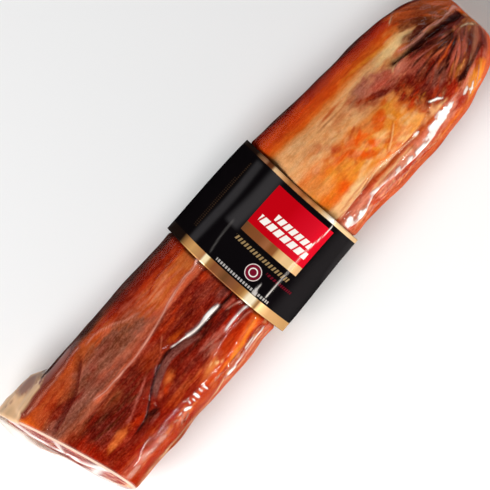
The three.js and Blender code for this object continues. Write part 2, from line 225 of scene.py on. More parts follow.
# Fold: path, width, depth, lift of the raised side, that side, how far it spreads, lengths of the ends
FOLDS = [
    # seam between the two muscles, where one lobe rolls over the other
    ([(-20, -7.6), (-32, -8), (-45, -8.4), (-54, -7.2), (-62, -4.8), (-67, -4.1), (-74, -5.8),
      (-81, -8.6), (-88, -12.4), (-96, -17), (-108, -19.4)], 1.1, 2.2, 1.4, 1, 6, (10, 26)),
    # raised edge of the flat panel beside the seam
    ([(-20, 13.8), (-32, 13.2), (-42, 11.9), (-54, 10), (-64, 7.8), (-74, 6.2), (-88, 5.6),
      (-98, 5.4), (-110, 7)], 1.3, -0.5, 0.6, 1, 8, (8, 8)),
    # diagonal hollow that runs out at the cut
    ([(-86, 27.5), (-94, 25.6), (-101, 21.8), (-108, 17.4), (-116, 14.2), (-124, 12), (-134, 10)],
     1.5, 1.3, 0.8, 1, 8, (14, 5)),
    # step along the shoulder, from the gathered end to the sleeve
    ([(112, -16), (104, -19), (93, -21.6), (84, -22.4), (75, -21.4), (66, -20.2), (58, -21),
      (50, -22.6), (42, -23.1), (30, -23.6)], 1.6, 1.9, 1.1, 1, 7, (12, 14)),
    # ridge of the film beyond that step
    ([(106, -26), (92, -28.2), (80, -28), (70, -26.6), (60, -25.2), (52, -26.4), (44, -28.4),
      (30, -27.4)], 1.5, -1, 0, 1, 6, (8, 12)),
    # the same step on the far side of the sleeve
    ([(-12, -28), (-30, -29.4), (-50, -30.6), (-64, -33), (-84, -35), (-104, -34), (-124, -33)],
     1.5, 1, 0.3, 1, 5, (10, 16)),
    # short notch beside the bright strip of fat
    ([(-18, -19), (-34, -19.6), (-46, -21), (-58, -23)], 1.6, 1.9, 0.9, -1, 5, (6, 10)),
    # folds that run out from under the sleeve
    ([(-18, -13.6), (-28, -12.8), (-38, -11.4), (-50, -10.8)], 1.2, 1.5, 0.7, -1, 4, (5, 10)),
    ([(-18, 24.6), (-34, 24.4), (-46, 23.6), (-56, 21)], 1.6, 0.9, 0.5, -1, 5, (8, 10)),
    # dark valley beside the spots of fat near the cut
    ([(-86, -14.8), (-96, -17.6), (-106, -19), (-116, -20)], 1.4, 1.2, 0.6, -1, 6, (6, 12)),
    # left edge of the sunken panel
    ([(-60, 17.6), (-68, 19.6), (-76, 23.6), (-84, 26.8), (-92, 27.2), (-100, 23.6), (-108, 18)],
     1.2, -0.6, 0.5, 1, 5, (6, 8)),
    # main cleft of the gathered end and the film creases beside it
    ([(152, 2), (146, 2.4), (138, 3.8), (130, 4.7), (122, 5.5), (115, 7.6), (109, 9.2), (102, 8)],
     1.5, 3.4, 1.2, -1, 8, (1, 8)),
    ([(152, 4), (140, 5.4), (130, 6.6), (121, 7.4), (117, 8.6), (111, 12)], 0.9, -1.5, 0.9, 1, 8, (1, 6)),
    ([(134, 9.8), (128, 10), (122, 9.6), (116, 11)], 1.1, 2.2, 0.3, 1, 4, (4, 5)),
]
# The same on the flanks and the underside, in degrees from the top
FLANK_FOLDS = [
    ([(112, 80), (84, 86), (50, 82), (38, 78)], 3.2, 0.9, 0.5, 1, 9, (14, 12)),
    ([(-26, 86), (-60, 90), (-96, 88)], 2.4, 1.2, 0.6, -1, 9, (12, 18)),
    ([(104, -86), (70, -78), (40, -84)], 2.4, 1.8, 1.2, -1, 9, (16, 14)),
    ([(-30, -96), (-66, -88), (-108, -94)], 2.6, 1.9, 1.2, 1, 9, (12, 16)),
    ([(110, 118), (66, 112), (40, 116)], 2.4, 1.6, 0.9, 1, 9, (14, 12)),
    ([(-30, 122), (-70, 114), (-112, 120)], 2.4, 1.7, 0.9, -1, 9, (12, 14)),
    ([(100, -128), (62, -122), (40, -126)], 2.4, 1.5, 0.9, 1, 9, (14, 10)),
    ([(-32, -126), (-80, -132), (-118, -124)], 2.4, 1.6, 0.9, -1, 9, (10, 14)),
]
SWELLINGS = [  # x, degrees from the top, half length, half turn in degrees, height
    (-72, -45, 50, 20, 1.9),  # rolled lobe beside the seam
    (-78, 12, 34, 15, -1.5),  # flat panel
    (-86, 30, 20, 11, -1.1),  # sunken part of it
    (66, 6, 42, 30, 0.8),  # fat cover
    (93, 16, 13, 12, -1.1),  # pressed window in the fat
    (134, 38, 14, 18, -1.4),  # flattened flap of the gathered end
    (-112, -20, 26, 18, 0.9),
]
print(len(FOLDS) + len(FLANK_FOLDS), "folds and", len(SWELLINGS), "swellings")

# %% Pleats and unevenness
PLEATS = [(-74, 1.5), (-52, 1.2), (-26, 1.1), (36, 1.2), (56, 1.6), (78, 1.3), (104, 1.8), (130, 1.4),
          (156, 1.7), (-176, 1.4), (-150, 1.8), (-124, 1.3), (-98, 1.7)]
PLEAT_START = 112.0
PLEAT_WIDTH = math.radians(6)
UNEVEN = [(41, 2, 0.6, 0.35), (27, 3, 2.1, 0.3), (63, 5, 4.4, 0.22)]  # length, waves round, shift, height
RELIEF_AT_TIP = 0.3


def fold_height(x, turn):
    """Sum of grooves and raised sides of all folds, the swellings, the pleats and slow waves."""
    radius = oval_radius(x, turn)
    height = np.zeros_like(x + turn)
    for folds, turned in ((FOLDS, False), (FLANK_FOLDS, True)):
        for path, width, depth, lift, side, spread, ends in folds:
            gap = off_line(path, x, turn, radius, turned)
            groove = bell(gap / width)
            raised = np.where(gap * side > 0, lift * (1 - groove) * bell(gap / spread), 0)
            height += line_fade(path, ends, x) * (raised - depth * groove)
    for place, middle, long, around, high in SWELLINGS:
        height += high * bell((x - place) / long) * bell(away(turn, middle) / math.radians(around))
    pleated = ease(PLEAT_START, TIP_X, x)
    for angle, depth in PLEATS:
        height -= pleated * depth * bell(away(turn, angle) / PLEAT_WIDTH)
    for long, around, shift, high in UNEVEN:
        height += high * np.sin(x * 2 * math.pi / long + shift) * np.sin(around * turn + shift)
    height += 0.3 * clouds(x, turn, 22, 9, 11) + 0.16 * clouds(x, turn, 12, 2.6, 17, 2)
    return height * np.minimum(1, gathered(x) + RELIEF_AT_TIP)


# %% [markdown]
# ## The gathered end
#
# Where the loin was tied, meat and skin are drawn together into one point near the tip. Ribs fan out
# from that point over a rounded lobe, and a notch runs from it to the tip. In the angle round the
# point the ribs are simply waves, so one cosine makes them all.

# %% Lobe, ribs and notch
LOBE = dict(x=119, y=-8, long=20, wide=15.5, high=2.2)
GATHER = dict(x=142.2, y=-3.4, pit=2.6, round=4.5)
RIBS = dict(count=15, high=0.85, inner=3, outer=36, spread=1.3)
NOTCH = dict(x=150, y=-3, long=7, wide=5.5, deep=3.8)
FINER_RIBS = 2.3  # waves for each main rib


def upper_side(turn):
    """1 on the top, falling to 0 at the widest place: 2 cos(turn), kept between 0 and 1."""
    return np.clip(np.cos(turn) * 2, 0, 1)


def rib_wave(reach, angle, uneven, main, finer):
    """Main ribs and finer ones, main cos(n a) + finer cos(2.3 n a + 1), on an angle a that sways as
    the reach grows."""
    bent = angle + 0.09 * np.sin(reach / 5.5) + uneven
    return main * np.cos(RIBS["count"] * bent) + finer * np.cos(FINER_RIBS * RIBS["count"] * bent + 1)


def about_gather(x, y):
    """Distance from the gathering point, and angle about it from the way back along the loin."""
    return np.hypot(x - GATHER["x"], y - GATHER["y"]), np.arctan2(y - GATHER["y"], GATHER["x"] - x)


def gathered_height(x, turn):
    """Lobe with a flat-topped outline, ribs as waves in the angle, and the pit and notch as bells."""
    y = point_at(x, turn, oval_radius(x, turn))[..., 1]
    reach, angle = about_gather(x, y)
    lobe = LOBE["high"] * block(np.hypot((x - LOBE["x"]) / LOBE["long"], (y - LOBE["y"]) / LOBE["wide"]))
    notch = NOTCH["deep"] * bell((x - NOTCH["x"]) / NOTCH["long"]) * bell((y - NOTCH["y"]) / NOTCH["wide"])
    fan = bell(angle / RIBS["spread"]) * ease(0, RIBS["inner"], reach)
    fan = fan * ease(RIBS["outer"], RIBS["inner"], reach)
    ribs = RIBS["high"] * fan * rib_wave(reach, angle, 0.05 * noise(x, turn, 9, 9, 23), 1, 0.35)
    return upper_side(turn) * (lobe + ribs - GATHER["pit"] * bell(reach / GATHER["round"]) - notch)


# %% [markdown]
# ## The card sleeve
#
# The sleeve is printed card, bent round the loin and glued below. Card does not bend evenly: it stays
# nearly flat between soft creases. A section with flats is a sum of high powers: each flat pushes the
# outline out to its own distance, and a high power leaves only a tight curve between two of them.

# %% Section of the sleeve
SLEEVE_START = -24.8
SLEEVE_END = 32.4
SLEEVE_THICK = 0.4
SLEEVE_CLEAR = 0.35
SLEEVE_FACETS = [(0, 0.5), (44, 0.8), (89, 2.2), (136, 0.3), (-136, 0.3), (-90, 2.8), (-50, 0.2)]
SLEEVE_FLARE = 1.7
SLEEVE_BOW = 1.4
SLEEVE_BOW_REACH = 36
CREASE_SHARPNESS = 30
SQUEEZE = 1.0
SQUEEZE_EDGE = 1.4
SQUEEZE_INSET = 0.4
SQUEEZED_RELIEF = 0.15


def bow(y):
    """How far the sleeve's two edges are bowed towards the gathered end at y: b (y / r)^2."""
    return SLEEVE_BOW * (y / SLEEVE_BOW_REACH) ** 2


def support(x, angle):
    """Distance from the centre to the flat that touches the oval there: the dual superellipse."""
    _, _, half, rise = section(x, angle + 0 * x)
    power = SQUARENESS / (SQUARENESS - 1)
    return (np.abs(half * np.sin(angle)) ** power + np.abs(rise * np.cos(angle)) ** power) ** (1 / power)


def sleeve_radius(x, turn):
    """Outline of flats: the sum of (cos(turn - facet) / distance)^p, to the power of -1/p."""
    flare = ease(SLEEVE_END, SLEEVE_START, x) * SLEEVE_FLARE
    total = 0
    for degrees, stand in SLEEVE_FACETS:
        angle = math.radians(degrees)
        reach = support(x, angle) + stand + flare * max(-math.sin(angle), 0) ** 4
        total = total + (np.maximum(np.cos(turn - angle), 0) / reach) ** CREASE_SHARPNESS
    return total ** (-1 / CREASE_SHARPNESS)


def under_sleeve(x, y):
    """1 under the sleeve, easing to 0 just beyond its two bowed edges."""
    shifted = x - bow(y)
    first = ease(SLEEVE_START - SQUEEZE_EDGE, SLEEVE_START + SQUEEZE_INSET, shifted)
    return first * ease(SLEEVE_END + SQUEEZE_EDGE, SLEEVE_END - SQUEEZE_INSET, shifted)


print("sleeve half width", round(float(sleeve_radius(0.0, math.pi / 2)), 1), "mm")

# %% [markdown]
# ## One grid for every skin
#
# Rows run round the loin and columns along it. Columns stand closer together on the top, which is
# seen most. Near the knife cut the rows lean until they lie in the plane of the cut, so the cut edge
# is a clean row of the mesh. Each end is closed by rings that shrink to one point.

# %% Rows and columns
COLUMNS = 236
ROWS = 376
TOP_CROWDING = 0.5
CUT_X = -131.0
CUT_ACROSS = -0.24
CUT_DOWN = 0.25
CUT_TOP = 45.0
CUT_REACH = 75.0
CUT_ROUND = 1.8
CUT_PASSES = 4
RIM_STEPS = [0, 0.1, 0.35, 0.75, 1.25]

even = (np.arange(COLUMNS) + 0.5) / COLUMNS * 2 * math.pi - math.pi
TURNS = even - TOP_CROWDING * np.sin(even)
STEPS = np.concatenate([RIM_STEPS, np.linspace(CUT_ROUND, TIP_X - CUT_X, ROWS)])
turn = np.broadcast_to(TURNS, (len(STEPS), COLUMNS))


def cut_plane(y, z):
    """x of the knife cut at a height and a place across."""
    return CUT_X + CUT_ACROSS * (y + 1) + CUT_DOWN * (z - CUT_TOP)


def rim_inset(step):
    """Quarter circle that rounds the edge of the cut."""
    return CUT_ROUND - np.sqrt(CUT_ROUND ** 2 - np.maximum(CUT_ROUND - step, 0) ** 2)


def meat_radius(x, turn):
    """Oval plus folds plus the gathered end, squeezed and smoothed under the sleeve."""
    squeezed = under_sleeve(x, oval_radius(x, turn) * np.sin(turn))
    relief = (fold_height(x, turn) + gathered_height(x, turn)) * (1 - (1 - SQUEEZED_RELIEF) * squeezed)
    return oval_radius(x, turn) + relief - squeezed * SQUEEZE


MEAT_FLOOR = 0.4
x = CUT_X + STEPS[:, None] + 0 * turn
lean_back = ease(CUT_X + CUT_REACH, CUT_X, x)
for _ in range(CUT_PASSES):
    radius = meat_radius(x, turn) - rim_inset(STEPS)[:, None]
    place = point_at(x, turn, radius, MEAT_FLOOR)
    x = CUT_X + STEPS[:, None] + lean_back * (cut_plane(place[..., 1], place[..., 2]) - CUT_X)
body = point_at(x, turn, radius, MEAT_FLOOR)
print("meat grid", body.shape, "from", body.min((0, 1)).round(1), "to", body.max((0, 1)).round(1))

# %% Closing the ends
FACE_SHARES = np.linspace(0.06, 0.985, 20)
TIP_SHARES = np.linspace(0.93, 0.1, 9)
TIP_DIMPLE = 2.4
OUTWARD = np.array([-1, CUT_ACROSS, CUT_DOWN]) / math.sqrt(1 + CUT_ACROSS ** 2 + CUT_DOWN ** 2)


def face_rings(rim, height):
    """Rings on the knife cut: from the centre to the rim, each lifted by height(share, turn)."""
    centre = rim.mean(0)
    share = FACE_SHARES[:, None]
    flat = centre + (rim - centre) * share[..., None]
    return flat + height(share, TURNS)[..., None] * OUTWARD, centre + height(0.0, 0.0) * OUTWARD


def tip_rings(row):
    """Rings that draw the tip in to a dimple: 2 d s (1 - s) stands proud round the centre."""
    centre = row.mean(0) - np.array([TIP_DIMPLE, 0, 0])
    share = TIP_SHARES[:, None]
    inner = centre + (row - centre) * share[..., None]
    inner[..., 0] += 2 * TIP_DIMPLE * share * (1 - share)
    return inner, centre


# %% Values and maps on a mesh
def add_values(mesh, values):
    """Stores an array per point as an attribute: three numbers as a colour, one as a value."""
    for name, value in values.items():
        if value.ndim == 2:
            layer = mesh.attributes.new(name, "FLOAT_COLOR", "POINT")
            colours = np.column_stack([value, np.ones(len(value))])
            layer.data.foreach_set("color", colours.astype(np.float32).ravel())
        else:
            layer = mesh.attributes.new(name, "FLOAT", "POINT")
            layer.data.foreach_set("value", value.astype(np.float32))


def over_all(face, rows, tip, first=None):
    """One array for all points of a skin: its first point, face rings, rows, tip rings and last point."""
    depth = rows.shape[2:]
    face = np.broadcast_to(face, (len(FACE_SHARES), COLUMNS) + depth).reshape(-1, *depth)
    tip = np.broadcast_to(tip, (len(TIP_SHARES), COLUMNS) + depth).reshape(-1, *depth)
    first = face[:1] if first is None else first
    return np.concatenate([first, face, rows.reshape(-1, *depth), tip, tip[:1]])


def pair(u, v):
    """Two arrays as one array of places on a flat map."""
    return np.stack(np.broadcast_arrays(u, v), -1)


def add_map(mesh, name, places):
    """Stores a place on a flat map for each corner of each face."""
    layer = mesh.uv_layers.new(name=name)
    layer.uv.foreach_set("vector", places.astype(np.float32).ravel())


def new_object(name, data):
    """An object at the origin, linked to the scene."""
    made = bpy.data.objects.new(name, data)
    scene.collection.objects.link(made)
    return made


# %% A closed skin
def closed_skin(name, rings, first, last, values):
    """A closed mesh from rings of points and a point at each end, with a flat map of rows and
    columns as its UV map. values holds arrays per point, the ends included."""
    rows, columns = rings.shape[:2]
    points = np.concatenate([[first], rings.reshape(-1, 3), [last]]) * MM
    at = 1 + np.arange(rows)[:, None] * columns + np.arange(columns)
    beside = np.roll(at, -1, 1)
    quads = np.stack([at[:-1], at[1:], beside[1:], beside[:-1]], -1).reshape(-1, 4)
    caps = np.concatenate([
        np.stack([np.zeros(columns, int), at[0], beside[0]], -1),
        np.stack([np.full(columns, len(points) - 1), beside[-1], at[-1]], -1)])
    mesh = bpy.data.meshes.new(name)
    mesh.from_pydata(points.tolist(), [], quads.tolist() + caps.tolist())
    mesh.shade_smooth()
    down = np.arange(rows + 2) / (rows + 1)
    side = np.arange(columns + 1) / columns
    r, c = np.meshgrid(np.arange(rows - 1), np.arange(columns), indexing="ij")
    quad_map = np.stack([pair(side[c], down[r + 1]), pair(side[c], down[r + 2]),
                         pair(side[c + 1], down[r + 2]), pair(side[c + 1], down[r + 1])], 2)
    left, right = side[:-1], side[1:]
    middle = (left + right) / 2
    first_map = np.stack([pair(middle, 0), pair(left, down[1]), pair(right, down[1])], 1)
    last_map = np.stack([pair(middle, 1), pair(right, down[rows]), pair(left, down[rows])], 1)
    maps = [part.reshape(-1, 2) for part in (quad_map, first_map, last_map)]
    add_map(mesh, "OFBake", np.concatenate(maps))
    add_values(mesh, values)
    print(name, len(points), "points,", 2 * len(quads) + len(caps), "triangles")
    return new_object(name, mesh)


def cut_grain(share, turn):
    """A knife cut is nearly flat: a slight crown and a fine unevenness."""
    rough = 0.2 * noise(60 * np.asarray(share) + 0 * turn, turn + 0 * np.asarray(share), 6, 6, 31)
    return 0.5 * (1 - np.asarray(share) ** 2) + rough * np.asarray(share)


meat_face, meat_face_middle = face_rings(body[0], cut_grain)
meat_tip, meat_tip_middle = tip_rings(body[-1])
meat_rings = np.concatenate([meat_face, body, meat_tip])
print(len(meat_rings), "rings of", COLUMNS, "points")

# %% [markdown]
# ## The colours of the meat
#
# Dry cured pork is maroon where it is lean and runs through orange to cream where fat covers it. The
# seams, the edges of each muscle and the smears of paprika fat make soft patches, longer along the
# grain than across it. Dark lines in grooves and gaps are painted shade, some pale lines on crests are
# painted light, and the +Y edge is darkened with painted shade. All of them are painted on the points
# of the mesh in the order in which they lie on each other, each with its own soft and slightly ragged
# edge.

# %% Tones
TONES = {
    "white": (255, 248, 242), "cream": (238, 190, 136), "beige": (244, 208, 150),
    "peach": (234, 174, 118), "tan": (220, 134, 66), "gold": (230, 146, 48),
    "orange": (222, 100, 28), "blotch": (226, 82, 10), "ember": (190, 84, 36),
    "rust": (172, 66, 30), "flame": (210, 74, 18), "rind": (186, 54, 16),
    "red": (152, 30, 8), "lean": (122, 25, 11), "salmon": (196, 96, 66),
    "pink": (216, 140, 118), "rose": (178, 90, 76), "mauve": (142, 80, 66),
    "brown": (146, 72, 40), "umber": (104, 50, 28), "maroon": (116, 26, 14),
    "wine": (92, 22, 16), "dark": (48, 14, 10), "dusk": (62, 34, 30),
    "slate": (116, 66, 60), "taupe": (130, 73, 56), "pale_of_painted_sheen": (242, 236, 240),
}


def linear(colour):
    """Screen colour, 0 to 255, as light: ((c + 0.055) / 1.055)^2.4."""
    c = np.array(colour, float) / 255
    return np.where(c <= 0.04045, c / 12.92, ((c + 0.055) / 1.055) ** 2.4)


# Tones across the top, at three places along the loin: y in plan and the tone there. The darkest one
# at the +Y edge is painted shade.
ACROSS = {
    70: [(30.8, "dusk"), (29.6, "lean"), (28.6, "red"), (27.2, "rind"), (25.2, "flame"), (21.8, "flame"),
         (20.4, "orange"), (19.2, "orange"), (18, "tan"), (16.4, "peach"), (3, "peach"), (1, "tan"),
         (-4, "tan"), (-9, "gold"), (-16, "gold"), (-18.6, "cream"), (-21.4, "cream"), (-22.1, "ember"),
         (-22.8, "ember"), (-23.8, "salmon"), (-26.4, "pink"), (-29, "rose"), (-31.4, "ember"),
         (-33, "salmon"), (-34, "ember")],
    -50: [(31.6, "dusk"), (30, "maroon"), (27, "maroon"), (24.8, "red"), (22, "rust"), (19, "ember"),
          (14.4, "ember"), (13, "salmon"), (10.4, "salmon"), (9.4, "lean"), (-10, "lean"), (-16, "red"),
          (-19, "lean"), (-21.5, "rind"), (-26.4, "rind"), (-28.4, "red"), (-31, "rust"), (-32.5, "rose"),
          (-34.4, "ember")],
    -104: [(31, "dusk"), (29.4, "umber"), (28, "rust"), (25, "ember"), (20, "rust"), (17, "brown"),
           (14, "mauve"), (8.4, "mauve"), (6.8, "salmon"), (4.8, "salmon"), (3, "lean"), (-2, "maroon"),
           (-9, "maroon"), (-12, "lean"), (-16, "lean"), (-18, "maroon"), (-20, "lean"), (-24, "lean"),
           (-28, "red"), (-31, "rust"), (-33.4, "red"), (-36, "brown")],
}
# Tones of the flanks and the underside, in degrees round from the top; the +Y flank starts in painted shade
UNDER = [(88, "dusk"), (102, "umber"), (120, "maroon"), (140, "red"), (160, "rust"), (180, "red")]
UNDER_RIGHT = [(-88, "rust"), (-100, "red"), (-120, "lean"), (-146, "red"), (-166, "rust"), (-180, "red")]


def across_loin(place, turn):
    """Tone at a turn, blended between the ones listed for one place along the loin."""
    stops = [(math.degrees(float(turn_at(place, y))), tone) for y, tone in ACROSS[place]]
    stops = sorted(stops + UNDER + UNDER_RIGHT)
    degrees = np.array([stop[0] for stop in stops])
    colours = np.array([linear(TONES[stop[1]]) for stop in stops])
    at = np.degrees(wrap(turn))
    return np.stack([np.interp(at, degrees, colours[:, k]) for k in range(3)], -1)


def blend(colour, tone, mask):
    """One named tone laid over a colour, as far as the mask says."""
    return colour * (1 - mask[..., None]) + linear(TONES[tone]) * mask[..., None]


def combed(run, off, pitch, seed):
    """Noise drawn out eight times along the run of the fibres."""
    return noise(run, off / ROUND_MM, 8 * pitch, pitch, seed)


MIDDLE_BLEND = (-14, 14)  # where along the loin one profile blends into the next
CUT_BLEND = (-88, -60)


def base_tone(x, turn):
    """The three profiles, blended along the loin: c = c1 (1 - s) + c2 s."""
    upper = ease(*MIDDLE_BLEND, x)[..., None]
    middle = ease(*CUT_BLEND, x)[..., None]
    lower = across_loin(-104, turn) * (1 - middle) + across_loin(-50, turn) * middle
    return lower * (1 - upper) + across_loin(70, turn) * upper


